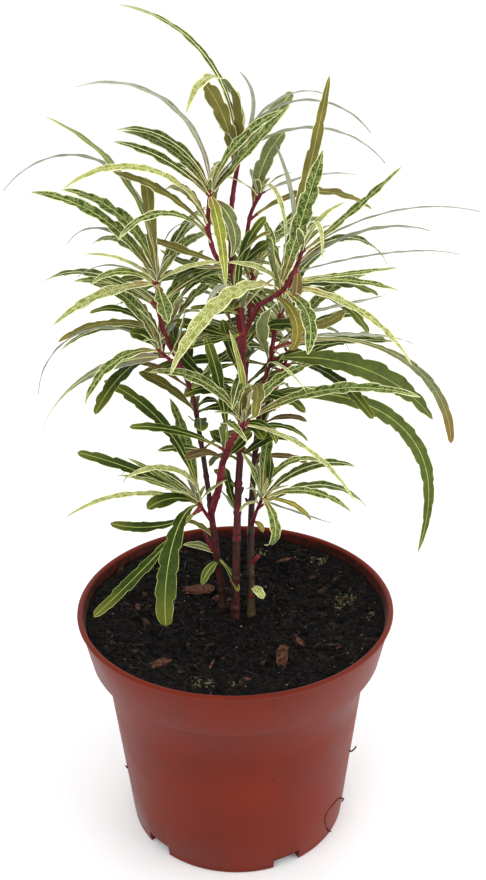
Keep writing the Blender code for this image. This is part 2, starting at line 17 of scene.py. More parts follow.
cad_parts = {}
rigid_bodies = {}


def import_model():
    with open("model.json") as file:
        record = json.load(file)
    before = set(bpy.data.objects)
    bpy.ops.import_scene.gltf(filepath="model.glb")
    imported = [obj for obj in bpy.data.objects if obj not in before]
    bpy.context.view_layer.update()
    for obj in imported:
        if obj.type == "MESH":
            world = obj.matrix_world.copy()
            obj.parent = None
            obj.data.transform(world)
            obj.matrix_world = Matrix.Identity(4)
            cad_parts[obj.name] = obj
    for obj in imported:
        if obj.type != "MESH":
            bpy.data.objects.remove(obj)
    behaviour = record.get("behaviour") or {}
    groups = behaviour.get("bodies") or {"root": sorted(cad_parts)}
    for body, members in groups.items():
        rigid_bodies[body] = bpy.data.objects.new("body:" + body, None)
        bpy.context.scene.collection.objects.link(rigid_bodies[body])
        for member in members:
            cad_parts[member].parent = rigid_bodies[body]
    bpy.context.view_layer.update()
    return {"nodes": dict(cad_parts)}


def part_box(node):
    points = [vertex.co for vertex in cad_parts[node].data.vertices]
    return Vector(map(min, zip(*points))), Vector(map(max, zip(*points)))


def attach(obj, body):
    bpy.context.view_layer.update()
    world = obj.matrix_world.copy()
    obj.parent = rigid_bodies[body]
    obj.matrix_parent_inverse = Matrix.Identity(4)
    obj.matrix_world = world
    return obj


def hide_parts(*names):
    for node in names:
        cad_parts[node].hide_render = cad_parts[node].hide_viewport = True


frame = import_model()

bl_info = {
    "name": "Potted Shrub",
    "version": (1, 0, 0),
    "blender": (4, 5, 0),
    "location": "View3D > Sidebar > Potted Shrub",
    "description": "Builds a potted shrub with net-veined leaves on crimson shoots",
    "category": "Object",
}

MM = 0.001
GAP = 0.3
SEED = 11

# Pot sizes, read from the frame where it gives them
RIM_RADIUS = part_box("pot")[1].x / MM
POT_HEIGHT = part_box("pot")[1].z / MM
SOIL_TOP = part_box("soil")[1].z / MM
SOIL_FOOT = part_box("soil")[0].z / MM
LIP_HEIGHT = 1.8
LIP_REACH = 0.45
BAND_HEIGHT = 19.5
BAND_FOOT = POT_HEIGHT - BAND_HEIGHT
BAND_FOOT_RADIUS = 55.4
BODY_TOP_RADIUS = 50.8
BODY_FOOT_RADIUS = 42.8
WALL = 1.5
FLOOR = 2.0
FLOOR_ROUND = 1.5
BAND_ROUND = 0.6
EDGE_ROUND = 0.7
LIP_ROUND = 0.9
POT_STEPS = 160
SLOTS = 5
SLOT_FIRST = -136.0
SLOT_SIZE = (10.0, 11.0, 10.0)
SHARP_ANGLE = 40

# Colours of the smudges, scuffs and specks on the pot, and of the painted shade on its inner wall
SMUDGE_TINT = (0.030, 0.014, 0.010, 1)
SCUFF_TINT = (0.36, 0.15, 0.09, 1)
SPECK_TINT = (0.018, 0.012, 0.010, 1)
# Painted shade for the pot's inner wall above the soil
INNER_WALL_SHADE_TINT = (0.012, 0.006, 0.005, 1)

# Soil: how finely it is cut, its waves as (length, height), its mound and its bank
SOIL_RINGS = 150
SOIL_SPOKES = 400
SOIL_WAVES = ((15.0, 1.5), (5.0, 1.4), (1.7, 0.9))
SOIL_SINK = 0.9
MOUND_HEIGHT = 1.2
MOUND_REACH = 14.0
EDGE_RISE = 4.0
EDGE_START = 32.0

# Litter on the soil: its bare edge and middle, and the upward share of the steepest normal
LITTER_MARGIN = 2.4
BARE_MIDDLE = 3.0
STEEPEST = 0.25

# Clumps of moss on the soil: place and reach
MOSS = ((43, 9, 3.4), (36, 37, 2.4), (-11, -45, 2.8), (0, -45, 2.0), (-46, -21, 1.4),
        (-2, 11, 1.8), (-30, 34, 2.2), (12, 44, 2.0), (51, -3, 1.4))

# Bark and dead leaf on the soil: place, heading, lean, length, width, thickness
CHIPS = ((17, -29, 78, 42, 9.5, 3.8, 1.5), (-27, -33, 15, 12, 7.5, 4.4, 1.2),
         (-15, 19.5, -12, 10, 15.0, 8.0, 0.8), (-7, 14, 30, 10, 5.0, 3.2, 0.9),
         (24, -17, 120, 12, 4.5, 2.2, 0.9), (38, -22, 40, 8, 3.6, 1.8, 0.8),
         (-38, 6, 100, 10, 4.0, 1.8, 0.8), (20, 38, 10, 10, 5.5, 2.4, 1.0),
         (-8, 44, 60, 8, 4.5, 2.4, 0.9), (-9, -31, 65, 20, 6.0, 1.1, 0.8),
         (-24, 44, 150, 10, 4.0, 2.0, 0.9), (4, -41, 0, 6, 3.2, 1.8, 0.8))
BARK_TINTS = ((0.030, 0.012, 0.008, 1), (0.135, 0.058, 0.034, 1))

# Litter that shows on the soil: name, how many, smallest and largest size, how flat,
# how long, dark and light colour, and the attribute that says where it lies
LITTER = {
    "soil_crumbs": (8200, 0.2, 0.8, 0.75, 1.3, (0.0012, 0.0010, 0.0009), (0.016, 0.0135, 0.0125),
                    "even"),
    "soil_lumps": (520, 0.8, 1.9, 0.7, 1.3, (0.0014, 0.0011, 0.0010), (0.010, 0.0085, 0.0075),
                   "even"),
    "bark_bits": (55, 0.6, 1.9, 0.28, 2.4, (0.014, 0.007, 0.005), (0.050, 0.026, 0.018), "even"),
    "pale_grit": (230, 0.16, 0.5, 0.8, 1.1, (0.05, 0.045, 0.04), (0.24, 0.22, 0.19), "even"),
    "moss_grains": (360, 0.25, 0.6, 0.8, 1.2, (0.040, 0.043, 0.014), (0.165, 0.165, 0.080),
                    "moss"),
}

# Root hairs: how far out they start, and the length of one piece
HAIR_REACH = 52
HAIR_STEP = 1.5
HAIR_TINTS = ((0.006, 0.005, 0.0045), (0.085, 0.070, 0.060))

# Dried strands that cling to the pot's wall: turn, height, distance from the wall
WALL_STRANDS = (
    ((-20, 11.2, 0.3), (-26, 15.2, 0.1), (-32, 16.5, 0.1), (-38, 16.0, 0.1), (-40, 13.5, 0.1),
     (-37.5, 7.8, 0.1), (-34, 3.4, 0.2)),
    ((-22, 12.6, 0.1), (-20, 11.2, 0.5), (-19, 10.4, 1.0), (-20, 9.4, 0.6)),
    ((-36, 5.2, 0.1), (-34.5, 3.4, 0.5), (-33, 2.4, 1.0)),
    ((-19, 35.0, 0.1), (-17, 33.6, 0.6), (-15, 33.2, 1.3), (-14, 34.0, 1.9), (-15, 35.0, 2.0)),
    ((-161, 27.6, 0.1), (-162.5, 28.0, 0.7)))
STRAND_TINTS = ((0.040, 0.007, 0.004), (0.11, 0.020, 0.012))

# Limbs of the plant: places they pass, foot and tip radius, carrier, and how young they
# look at foot and tip (0 brown and woody, 1 crimson)
LIMB_STEP = 5.0
FLARE = 0.45
FLARE_HEIGHT = 5.0
FOOT_UPRIGHT = 1.2
STEM_DEPTH = 3.5
SOIL_LEVEL = SOIL_TOP + GAP
LIMBS = {
    "stem_centre": (((0, 0, SOIL_LEVEL), (0, 1, 94), (1.5, 6, 136), (3.8, 7, 175), (3, 5, 201),
                     (0.2, 10, 226)), 2.1, 1.3, None, 0.30, 0.85),
    "stem_right": (((6, 1, SOIL_LEVEL), (6, 2, 94), (6.3, 9, 124), (8, 12, 151), (10.2, 10, 173)),
                   1.9, 1.3, None, -0.35, 0.55),
    "stem_left": (((-5, 4, SOIL_LEVEL), (-5, 5, 94), (-7, 7, 112), (-9.2, 5, 138)), 1.9, 1.5, None,
                  0.15, 0.45),
    "bough_left": (((-9.2, 5, 138), (-12, 9, 159), (-15, 9, 178), (-23.5, 4, 202)), 1.3, 1.0,
                   "stem_left", -0.05, 0.95),
    "bough_front": (((-8.6, 5.6, 130), (-5.5, 2.5, 142), (-4, 2, 152)), 1.3, 1.2, "stem_left",
                    0.8, 1.0),
    "bough_upper_right": (((3.4, 6, 198), (9.3, -4, 213.5)), 1.3, 1.2, "stem_centre", 0.8, 1.0),
    "bough_back": (((3.6, 7, 168), (5, 22, 180), (6, 31, 193)), 1.2, 1.0, "stem_centre", 0.5, 0.9),
    "bough_back_left": (((-12.4, 9.3, 162), (-14, 20, 167), (-17, 29, 175)), 1.1, 0.9,
                        "bough_left", 0.5, 0.9),
    "bough_back_right": (((8.6, 11.8, 156), (12, 22, 161), (16, 31, 169)), 1.2, 1.0, "stem_right",
                         0.4, 0.9),
}

# How a limb's path is started clear of its carrier: steps along it, and what is left out
RIM_PLACES = 12
SEAT_STEP = 0.05
SEAT_AHEAD = 0.5
SIDE_CLEAR = 1.0
TIP_RUN = 1.5
TIP_CLEAR = 2.5

# Skin of a limb: its leaf joints, its bark, its closed tip, and how slim the picture shows it
NODE_GAP = 11.0
NODE_SWELL = 0.2
NODE_WAIST = 0.04
BARK_RELIEF = 0.05
TIP_FROM = 0.985
TIP_SHARE = 0.8
SLIMNESS = 0.77
FRONT_BOUGH_SLIMNESS = 1.06
PORE_TINT = (0.24, 0.15, 0.09, 1)

# Short side shoots at the leaf joints: carrier, place in percent, bearing, rise, length, radius
STUBS = (("stem_right", 24, -25, 40, 5.0, 1.1), ("stem_left", 47, 178, 55, 10.0, 0.9),
         ("stem_centre", 9, 170, 35, 3.0, 0.9), ("stem_centre", 22, -60, 50, 3.5, 0.8),
         ("stem_right", 50, 170, 45, 4.0, 0.7), ("stem_left", 72, -90, 40, 3.5, 0.8),
         ("stem_centre", 35, 20, 50, 4.0, 0.8), ("stem_centre", 47, -120, 45, 3.0, 0.8),
         ("stem_right", 8, -80, 40, 2.6, 0.9), ("bough_left", 30, -60, 50, 3.5, 0.6))
STUB_YOUTH = (0.7, 1.1)
TWIG_YOUTH = (0.75, 1.15)

# Tufts of foliage: places their own stem passes, radius, carrier, whether it stands on the
# carrier's tip, and how many seeded leaf pairs it has
MASSES = {
    "foliage_top": (((0.2, 10, 226), (0.7, 11, 244), (4, 12, 263)), 1.3, "stem_centre", True, 2),
    "foliage_upper_left": (((0.4, 9, 222), (-5, 2, 229), (-7.2, 2, 240), (-6, 2, 251)), 1.2,
                           "stem_centre", False, 2),
    "foliage_upper_middle": (((0.3, 10, 220), (4.5, 13, 227), (7, 14, 240), (11, 13, 248)), 1.1,
                             "stem_centre", False, 2),
    "foliage_heart": (((3.4, 6, 189), (4.6, -0.5, 200), (3.6, -2, 213)), 1.0, "stem_centre",
                      False, 0),
    "foliage_upper_right": (((9.3, -4, 213.5), (15, -8, 218), (18.5, -10, 222), (22, -9, 229),
                             (24, -9, 235)), 1.2, "bough_upper_right", True, 3),
    "foliage_left": (((-23.5, 4, 202), (-25.2, 3, 212), (-24.8, 2, 221)), 1.1, "bough_left", True,
                     3),
    "foliage_lower_left": (((-18, 7, 187), (-22, 6, 191), (-26, 5, 195)), 1.0, "bough_left",
                           False, 2),
    "foliage_centre": (((-4, 2, 152), (0, -3, 164), (4.7, -6, 172)), 1.2, "bough_front", True, 1),
    "foliage_foot_right": (((6.3, 9, 122), (8.9, 2, 134), (10.7, -2, 140)), 1.0, "stem_right",
                           False, 3),
    "foliage_foot_left": (((-8.5, 6, 126), (-11, 3, 132), (-13, 1, 137)), 1.0, "stem_left", False,
                          3),
    "foliage_right": (((10.2, 10, 173), (13.4, 8, 190), (15.8, 7, 203), (18, 6, 209)), 1.3,
                      "stem_right", True, 3),
    "foliage_back": (((6, 31, 193), (7, 36, 204), (8, 42, 214)), 1.0, "bough_back", True, 7),
    "foliage_back_left": (((-17, 29, 175), (-20, 34, 185), (-23, 39, 196)), 0.9, "bough_back_left",
                          True, 6),
    "foliage_back_right": (((16, 31, 169), (20, 36, 178), (24, 41, 188)), 1.0, "bough_back_right",
                           True, 7),
}
WHOLE_TUFTS = ("foliage_back", "foliage_back_left", "foliage_back_right")

# Leaf kinds: width, roll to the front, petiole share, how the blade fills out and runs out,
# depth of its lobes, margin width, and its finish
ARC = (4.0, 15, 0.05, 0.55, 0.75, 0.20, 0.22, "arc")
THREAD = (2.2, 10, 0.03, 0.40, 0.60, 0.10, 0.20, "hair")
YOUNG = (5.2, 34, 0.04, 0.60, 0.70, 0.42, 0.40, "young")
LEMON = (4.5, 30, 0.05, 0.50, 0.80, 0.36, 0.26, "lemon")
NETTED = (6.2, 38, 0.05, 0.75, 0.70, 0.44, 0.34, "netted")
DARK = (6.8, 38, 0.09, 0.95, 0.40, 0.36, 0.20, "dark")
OLIVE = (6.0, 34, 0.07, 0.75, 0.45, 0.42, 0.20, "olive")
TALL = (5.0, 90, 0.05, 0.45, 0.50, 0.34, 0.20, "olive")
BLUNT = (6.0, 90, 0.05, 0.60, 0.22, 0.46, 0.24, "olive")
WILLOW = (5.0, 90, 0.05, 0.55, 2.20, 0.20, 0.22, "willow")
SILVERY = (5.0, 90, 0.05, 0.65, 0.40, 0.36, 0.26, "sage")
BOLD = (6.8, 90, 0.09, 0.95, 0.40, 0.40, 0.24, "dark")
FADING = (5.8, 30, 0.08, 0.90, 0.55, 0.34, 0.24, "fading")
SPOON = (4.0, 90, 0.10, 1.30, 0.36, 0.22, 0.20, "wilting")
BROAD = (8.8, 50, 0.05, 0.75, 0.62, 0.34, 0.32, "green")
LONG = (8.8, 90, 0.05, 0.50, 0.70, 0.30, 0.30, "green")
WIDE = (8.8, 90, 0.05, 0.80, 0.65, 0.40, 0.36, "netted")
DEEP = (5.0, 38, 0.06, 0.80, 0.75, 0.40, 0.26, "deep")
SAGE = (5.0, 34, 0.05, 0.75, 0.70, 0.34, 0.26, "sage")
PALE = (4.0, 20, 0.06, 0.75, 0.50, 0.30, 0.30, "young")
RUSSET = (4.0, 20, 0.08, 0.85, 0.50, 0.30, 0.22, "russet")
BLUSH = (4.0, 20, 0.08, 0.90, 0.45, 0.20, 0.22, "blush")
BUD = (3.2, 10, 0.04, 0.60, 0.70, 0.20, 0.30, "young")
SPROUT = (2.8, 10, 0.04, 0.70, 0.60, 0.15, 0.26, "netted")

# Leaves that give the crown its outline, as (height up the tuft's stem in percent, bearing
# from +X towards +Y, rise, length, bend, turn, width, kind)
LEAVES = {
    "foliage_top": (
        (78, -135, 87, 34, 42, 0, 6.8, BLUNT), (84, 130, 95, 70, 85, 55, 2.5, DEEP),
        (86, 240, 120, 61, 175, 5, 5, YOUNG), (90, 45, 40, 33, 5, 0, 6.0, SILVERY),
        (94, -70, 85, 25, 20, -70, 4.5, OLIVE), (100, 10, 75, 42, 100, 30, 2, THREAD),
        (100, 50, 50, 37, 25, 75, 1.5, THREAD), (100, 50, 60, 56, 110, -75, 2, THREAD)),
    "foliage_upper_left": (
        (2, 160, -10, 29, -30, -25, 3.5, SAGE), (2, 190, 25, 35, 15, -40, 4.5, OLIVE),
        (38, -155, 70, 43, 115, 15, 3.5, NETTED), (52, 125, 35, 30, 105, 20, 1.5, THREAD),
        (56, -170, 55, 38, 40, 0, 4.5, OLIVE), (62, -155, 75, 59, 115, -20, 3.5, YOUNG),
        (92, -60, 15, 26, 140, 30, 5, SAGE), (96, 175, 50, 36, 40, 0, 4.5, DEEP),
        (98, -80, -5, 37, 80, 5, 4.5, LEMON), (98, -5, 50, 39, 5, -15, 6, NETTED),
        (100, 0, 65, 70, 115, 15, 2, THREAD), (100, 140, 90, 63, 105, 55, 3, ARC),
        (100, 170, 75, 40, 85, -5, 4, DEEP)),
    "foliage_upper_middle": (
        (80, 65, 75, 29, 40, -30, 6.4, SILVERY), (100, -75, 50, 35, 150, 10, 2, YOUNG),
        (100, 15, 25, 35, 35, 0, 2.5, ARC)),
    "foliage_heart": (
        (50, 170, -20, 22, -5, -10, 3.5, DARK), (76, -130, 105, 33, 170, 5, 3.5, ARC),
        (86, 165, 15, 19, 25, -5, 2.5, DARK), (98, -10, 105, 34, 60, 0, 4.0, BOLD),
        (100, -25, 120, 33, 105, 0, 4, OLIVE)),
    "foliage_upper_right": (
        (22, -50, 20, 26, 160, 5, 4.5, FADING), (34, -30, 71, 50, -2, 0, 6.8, WIDE),
        (40, -130, 60, 20, -30, 0, 5, DEEP), (40, -120, 35, 62, 100, -25, 5.5, YOUNG),
        (42, -45, -5, 33, 35, -65, 5.5, NETTED), (50, -20, 0, 51, 60, 15, 3.5, YOUNG),
        (50, 170, 45, 21, 45, 15, 3, YOUNG), (54, 0, 10, 37, 30, 5, 3.5, NETTED),
        (34, 36.6, 70.3, 70, -6.4, -4, 4.8, TALL), (58, 5, 5, 36, 0, 0, 2.5, NETTED),
        (68, -10, 20, 66, 40, 60, 1.5, THREAD), (74, 10, 40, 51, 60, 15, 2, THREAD),
        (80, 105, 90, 41, 50, 15, 2, THREAD), (94, -10, 40, 42, -5, 0, 4.5, NETTED),
        (94, 10, 35, 63, 50, 0, 1.5, THREAD), (100, -60, 85, 33, 160, -35, 2, YOUNG),
        (100, 30, 70, 21, 55, -15, 2.5, YOUNG)),
    "foliage_left": (
        (80, 60, 65, 28, 60, -5, 1.5, THREAD), (84, 165, 85, 49, 135, -25, 2, THREAD),
        (84, 170, 55, 31, 95, 5, 1.5, THREAD), (88, -165, 55, 25, 95, 0, 3.5, NETTED),
        (90, 110, 95, 93, 145, 70, 2, THREAD), (90, 170, 70, 54, 60, 30, 6, NETTED),
        (90, 185, 95, 69, 70, 0, 4, SAGE), (96, -150, 10, 39, 50, -15, 5, YOUNG),
        (96, -75, -20, 23, -5, -5, 6, NETTED), (98, -25, 40, 25, 40, 20, 3, YOUNG),
        (98, 140, 85, 35, 0, 0, 5.0, BLUNT), (98, 175, 85, 47, 80, -5, 6, NETTED),
        (98, 180, 50, 27, 55, 0, 2, YOUNG)),
    "foliage_lower_left": (
        (22, -25, 50, 21, -35, -15, 4.5, NETTED), (28, 184, 5, 57, 71, -10, 4.6, WILLOW),
        (68, -105, 70, 23, 25, -30, 3, NETTED), (76, -143, 26, 37, 96, -5, 4.8, NETTED),
        (84, 135, 70, 33, 95, 45, 3.5, DARK), (96, -195, 45, 58, 130, 40, 2, THREAD),
        (100, 180, 65, 12, 65, 0, 5.5, DARK)),
    "foliage_centre": (
        (4, 10, 40, 15, -5, 5, 4, DARK), (8, -155, 45, 16, 70, -5, 6, RUSSET),
        (10, -100, 95, 41, 125, 45, 3.5, NETTED), (28, -170, 40, 37, 45, -15, 4, DARK),
        (32, 160, 90, 43, 20, 0, 4.6, BOLD), (38, 10, 55, 34, 110, 0, 3, DARK),
        (56, -5, 85, 24, 175, -5, 3.5, DARK), (86, -45, 95, 48, 135, -60, 5, OLIVE),
        (96, -25, 5, 50, 65, 0, 2.5, YOUNG), (96, 165, 95, 35, 25, 0, 4, LEMON),
        (100, -10, 40, 64, 55, 0, 5, NETTED)),
    "foliage_foot_right": (
        (66, 210, 70, 12, -5, -5, 4, FADING), (76, -190, 25, 9, 95, 35, 1.5, NETTED),
        (78, -175, 90, 22, 35, 0, 3.5, NETTED), (88, -5, 65, 20, -30, 0, 5, DARK),
        (94, 5, -25, 29, 0, 10, 1.5, THREAD), (96, -20, 20, 21, 80, 15, 3, FADING),
        (98, 0, 30, 35, 75, -10, 3.5, NETTED), (100, -65, 5, 26, 170, 15, 5, NETTED),
        (100, 25, 85, 32, 125, -10, 3, NETTED)),
    "foliage_foot_left": (
        (44, -140, -15, 36, -25, -55, 5, DARK), (58, -150, 90, 41, 115, -5, 3.5, YOUNG),
        (60, 145, 80, 62, 50, 50, 5.4, BOLD), (68, -180, 40, 34, 25, 20, 3, NETTED),
        (68, -110, 35, 62, 135, 10, 8, DARK), (74, -135, -30, 58, -15, 5, 5, DARK),
        (76, -175, 30, 52, 65, 0, 2.5, YOUNG), (76, -155, 45, 23, 70, 5, 6, DARK),
        (78, 165, 40, 32, 20, 0, 3.5, NETTED), (88, 175, 35, 49, 25, -5, 5, DARK)),
    "foliage_right": (
        (4, -15, 20, 114, 135, 60, 6.2, LONG), (18, -40, 65, 16, 15, 0, 7.5, DARK),
        (38, -90, 50, 28, 105, 65, 1.5, YOUNG), (46, -125, 65, 38, 30, 75, 5.5, NETTED),
        (48, -5, 10, 68, 65, 15, 10.5, BROAD), (60, -10, 25, 90, 110, 30, 4.2, SPOON),
        (60, 5, 10, 45, 20, 5, 4.5, DEEP), (68, -15, 15, 60, 45, 65, 2.5, ARC),
        (88, -10, -15, 29, -35, 70, 5, OLIVE), (94, 15, 5, 41, 0, 10, 2.5, ARC)),
}

# Single leaves that grow straight from a limb or a tuft's stem, as (carrier, and then as above)
SPROUTS = (("stem_left", 40, -115, 20, 13, 90, -20, 4, BROAD),
           ("stem_right", 42, -40, 50, 8, 140, 0, 2.5, FADING),
           ("stem_right", 12, -55, 45, 9, 105, 5, 4, PALE),
           ("stem_centre", 30, 155, 70, 19, -10, 5, 5, DARK),
           ("stem_centre", 30, 175, 60, 13, 5, 5, 2.5, ARC),
           ("stem_right", 62, 90, 70, 14, 70, -60, 3.5, DARK),
           ("stem_left", 60, 150, 50, 15, 60, 10, 3, OLIVE),
           ("stem_centre", 63, 171, 18, 38, -43, -9, 5, DARK),
           ("bough_left", 62, -27, 44, 11, 9, 0, 5, DARK),
           ("bough_left", 40, -119, 41, 9, 0, 0, 3.5, DARK),
           ("stem_centre", 81, -156, 52, 20, -16, 0, 5, RUSSET),
           ("foliage_centre", 72, -36, 66, 20, -7, 0, 5, BLUSH),
           ("foliage_upper_right", 78, -95, -83, 13, -43, -8, 3.5, RUSSET),
           ("stem_centre", 68, 140, 58, 23, -16, 0, 5, DARK),
           ("stem_right", 82, 49, 70, 18, 5, 0, 5, DARK),
           ("stem_centre", 45, 136, 25, 17, 93, 20, 3.5, DARK),
           ("stem_right", 77, 26, 35, 21, 86, -1, 3.5, DARK),
           ("stem_centre", 77, 29, 46, 13, -11, 0, 4, DEEP),
           ("stem_centre", 78, 152, 37, 13, 90, 2, 3.5, DARK),
           ("stem_centre", 63, 29, 43, 18, 38, -1, 4, DARK),
           ("stem_centre", 73, 153, -12, 20, 30, 0, 3.5, DARK),
           ("bough_left", 49, 44, 44, 12, 91, -9, 3.5, DARK),
           ("stem_right", 52, 29, 36, 14, -35, 1, 3.5, DARK),
           ("stem_centre", 37, 151, 42, 12, 25, 1, 3.5, DARK),
           ("stem_centre", 87, 60, 40, 16, 40, 10, 4, DARK),
           ("stem_centre", 90, -150, 45, 15, 30, 10, 3.5, DEEP),
           ("stem_left", 46, 172, 45, 14, 60, 0, 3.2, SAGE),
           ("stem_left", 44, -40, -20, 16, 55, 0, 2.8, DARK))

# Leaves of a tuft that follow the rule of crossed pairs
PAIR_TURN = 90.0
PAIR_JITTER = 16.0
PAIR_RISE = (22.0, 68.0)
PAIR_BEND = (45.0, 110.0)
PAIR_LENGTH = (58.0, 34.0)
PAIR_KINDS = (DARK, DARK, DEEP, OLIVE, DEEP, NETTED)
RULE_SLIMNESS = 0.8
NUDGES = ((0, 0), (5, 0), (-5, 0), (0, 5), (0, -5), (9, 4), (-9, 4), (9, -6), (-9, -6), (14, 0),
          (-14, 0), (0, 12), (0, -12), (18, 8), (-18, 8), (24, 0), (-24, 0))
LEAF_TOP_SHARE = 0.95
LEAF_REACH = 1.2

# Short dark leaves in crossed pairs along the inner limbs: from and to shares of the limb
INNER = {"stem_centre": (0.46, 0.96), "stem_right": (0.72, 0.98), "bough_left": (0.25, 0.80),
         "bough_back": (0.3, 0.9), "bough_back_left": (0.3, 0.9), "bough_back_right": (0.3, 0.9)}
INNER_GAP = 12.5
INNER_LENGTH = (15.0, 27.0)
INNER_KINDS = (DARK, DARK, RUSSET, DEEP, DARK, OLIVE)

# Small leaves that crowd each tuft's tip
BUD_LENGTH = (7.0, 17.0)
BUD_KINDS = (BUD, SPROUT, ARC)
BUD_TURN = 137.5

# Leaf blade: its roll, stations along it, columns across it, petiole, lobes and ripple
FACING = 90
FRONT = Vector((0, -1, 0.35))
STATION_GAP = 0.95
COLUMNS = (0.32, 0.64)
LINE_FINENESS = 4
RIB_HALF = 0.16
PETIOLE_THICK = 0.95
PETIOLE_HALF = 0.5
LOBE_GAP = 8.0
LOBE_LIP = (-0.8, 0.5)
LOBE_EASE = (1.6, 3.8)
RIPPLE_HALF = 2.2

# Finishes of a blade: green, pale net, how much of it, margin, midrib, underside, and how
# far the tip fades and the foot reddens
FINISHES = {
    "arc": ((0.185, 0.205, 0.120), (0.48, 0.51, 0.38), 0.60, "silver", "silver", "grey", 0.0, 0.6),
    "hair": ((0.195, 0.210, 0.130), (0.38, 0.40, 0.27), 0.40, "dusk", "dusk", "dusk", 0.0, 0.4),
    "lemon": ((0.200, 0.210, 0.020), (0.42, 0.42, 0.09), 0.60, "cream", "pale", "grey", 0.1, 0.6),
    "wilting": ((0.130, 0.150, 0.070), (0.30, 0.31, 0.18), 0.50, "cream", "tan", "olive", 1.0,
                0.5),
    "willow": ((0.170, 0.185, 0.105), (0.34, 0.36, 0.24), 0.50, "silver", "pale", "grey", 0.1,
               0.25),
    "young": ((0.175, 0.200, 0.036), (0.70, 0.69, 0.36), 1.0, "cream", "pale", "grey", 0.1, 0.6),
    "netted": ((0.034, 0.063, 0.005), (0.40, 0.46, 0.16), 0.90, "cream", "pale", "grey", 0.0, 0.5),
    "dark": ((0.020, 0.036, 0.003), (0.10, 0.14, 0.02), 0.30, "lime", "lime", "green", 0.35, 0.25),
    "green": ((0.078, 0.118, 0.012), (0.22, 0.28, 0.06), 0.50, "lime", "lime", "green", 0.1, 0.3),
    "deep": ((0.026, 0.047, 0.004), (0.25, 0.30, 0.09), 0.65, "pale", "cream", "grey", 0.0, 0.5),
    "sage": ((0.120, 0.136, 0.050), (0.30, 0.33, 0.15), 0.55, "cream", "pale", "grey", 0.1, 0.7),
    "olive": ((0.155, 0.160, 0.034), (0.30, 0.30, 0.12), 0.50, "cream", "tan", "olive", 0.2, 0.7),
    "fading": ((0.190, 0.150, 0.020), (0.36, 0.30, 0.08), 0.45, "tan", "lime", "olive", 1.0, 0.7),
    "russet": ((0.120, 0.070, 0.025), (0.22, 0.16, 0.07), 0.40, "tan", "tan", "olive", 0.0, 0.8),
    "blush": ((0.330, 0.240, 0.190), (0.50, 0.42, 0.32), 0.40, "tan", "tan", "blush", 0.0, 0.9),
}
TINTS = {
    "cream": (0.76, 0.75, 0.40), "lime": (0.34, 0.39, 0.09), "tan": (0.33, 0.29, 0.09),
    "pale": (0.50, 0.54, 0.18), "petiole": (0.20, 0.034, 0.028),
    "grey": (0.150, 0.170, 0.060), "green": (0.080, 0.105, 0.020), "olive": (0.150, 0.135, 0.030),
    "blush": (0.36, 0.27, 0.22), "dusk": (0.29, 0.30, 0.21), "silver": (0.54, 0.56, 0.44),
}
FOOT_TINT = (0.30, 0.075, 0.050, 1)
TIP_TINTS = ((0.24, 0.24, 0.030, 1), (0.20, 0.125, 0.030, 1))

# Studio: the floor and the room, the lens, and the lamps' place, size and share of power
FLOOR_REACH = 12000
FLOOR_TINTS = ((0.94, 0.945, 0.95, 1), (0.96, 0.965, 0.97, 1))
SKY_TINT = (0.995, 1.0, 1.0, 1)
SENSOR_WIDTH = 36.0
CLIP_START = 0.01
LAMP_AIM = (0, 0, 0.15)
LAMPS = (("key lamp", (-0.55, -0.75, 1.05), 0.9, 1.0), ("fill lamp", (0.9, -0.35, 0.45), 0.8, 1.2),
         ("back lamp", (0.1, 0.9, 0.9), 0.8, 0.45))


# ---- plain geometry ----

def around(radius, angle):
    """The x and y of a place at a radius and turn round the pot's axis."""
    return radius * math.cos(angle), radius * math.sin(angle)


def smooth_path(keys, step):
    """Points about a step apart on a smooth curve through the key places."""
    keys = [Vector(k) for k in keys]
    ends = [keys[0] * 2 - keys[1]] + keys + [keys[-1] * 2 - keys[-2]]
    points = [keys[0]]
    for a, b, c, d in zip(ends, ends[1:], ends[2:], ends[3:]):
        count = max(2, round((c - b).length / step))
        for i in range(1, count + 1):
            t = i / count
            points.append(0.5 * (2 * b + (c - a) * t + (2 * a - 5 * b + 4 * c - d) * t ** 2
                                 + (3 * b - a - 3 * c + d) * t ** 3))
    return points


def lengths_along(points):
    total = [0.0]
    for a, b in zip(points, points[1:]):
        total.append(total[-1] + (b - a).length)
    return total


def point_at(points, share):
    """The point at a share of the path's length."""
    along = lengths_along(points)
    want = share * along[-1]
    for a, b, la, lb in zip(points, points[1:], along, along[1:]):
        if want <= lb:
            return a.lerp(b, (want - la) / (lb - la))
    return points[-1].copy()


def distance_to_path(place, points):
    """Distance from a place to a path, and the share of the path's length there."""
    along = lengths_along(points)
    best = (math.inf, 0.0)
    for a, b, la, lb in zip(points, points[1:], along, along[1:]):
        t = max(0.0, min(1.0, (place - a).dot(b - a) / (b - a).length_squared))
        best = min(best, ((place - a.lerp(b, t)).length, (la + (lb - la) * t) / along[-1]))
    return best


def rim_of(centre, direction, radius):
    """Places round the flat end of a limb."""
    across = direction.orthogonal().normalized()
    other = direction.cross(across)
    turns = [math.tau * i / RIM_PLACES for i in range(RIM_PLACES)]
    return [centre + (across * math.cos(t) + other * math.sin(t)) * radius for t in turns]


def seated_on_side(points, radius, host_points, host_foot, host_tip):
    """Start the path where its flat end first clears the side of the limb that carries it."""
    along = lengths_along(points)
    total = along[-1]
    travel = 0.0
    while travel < total:
        here = point_at(points, travel / total)
        ahead = point_at(points, min(1.0, (travel + SEAT_AHEAD) / total))
        gaps = []
        for place in rim_of(here, (ahead - here).normalized(), radius) + [here]:
            distance, share = distance_to_path(place, host_points)
            gaps.append(distance - host_foot - (host_tip - host_foot) * share)
        if min(gaps) >= GAP:
            break
        travel += SEAT_STEP
    return [here] + [p for p, s in zip(points, along) if s > travel + SIDE_CLEAR]


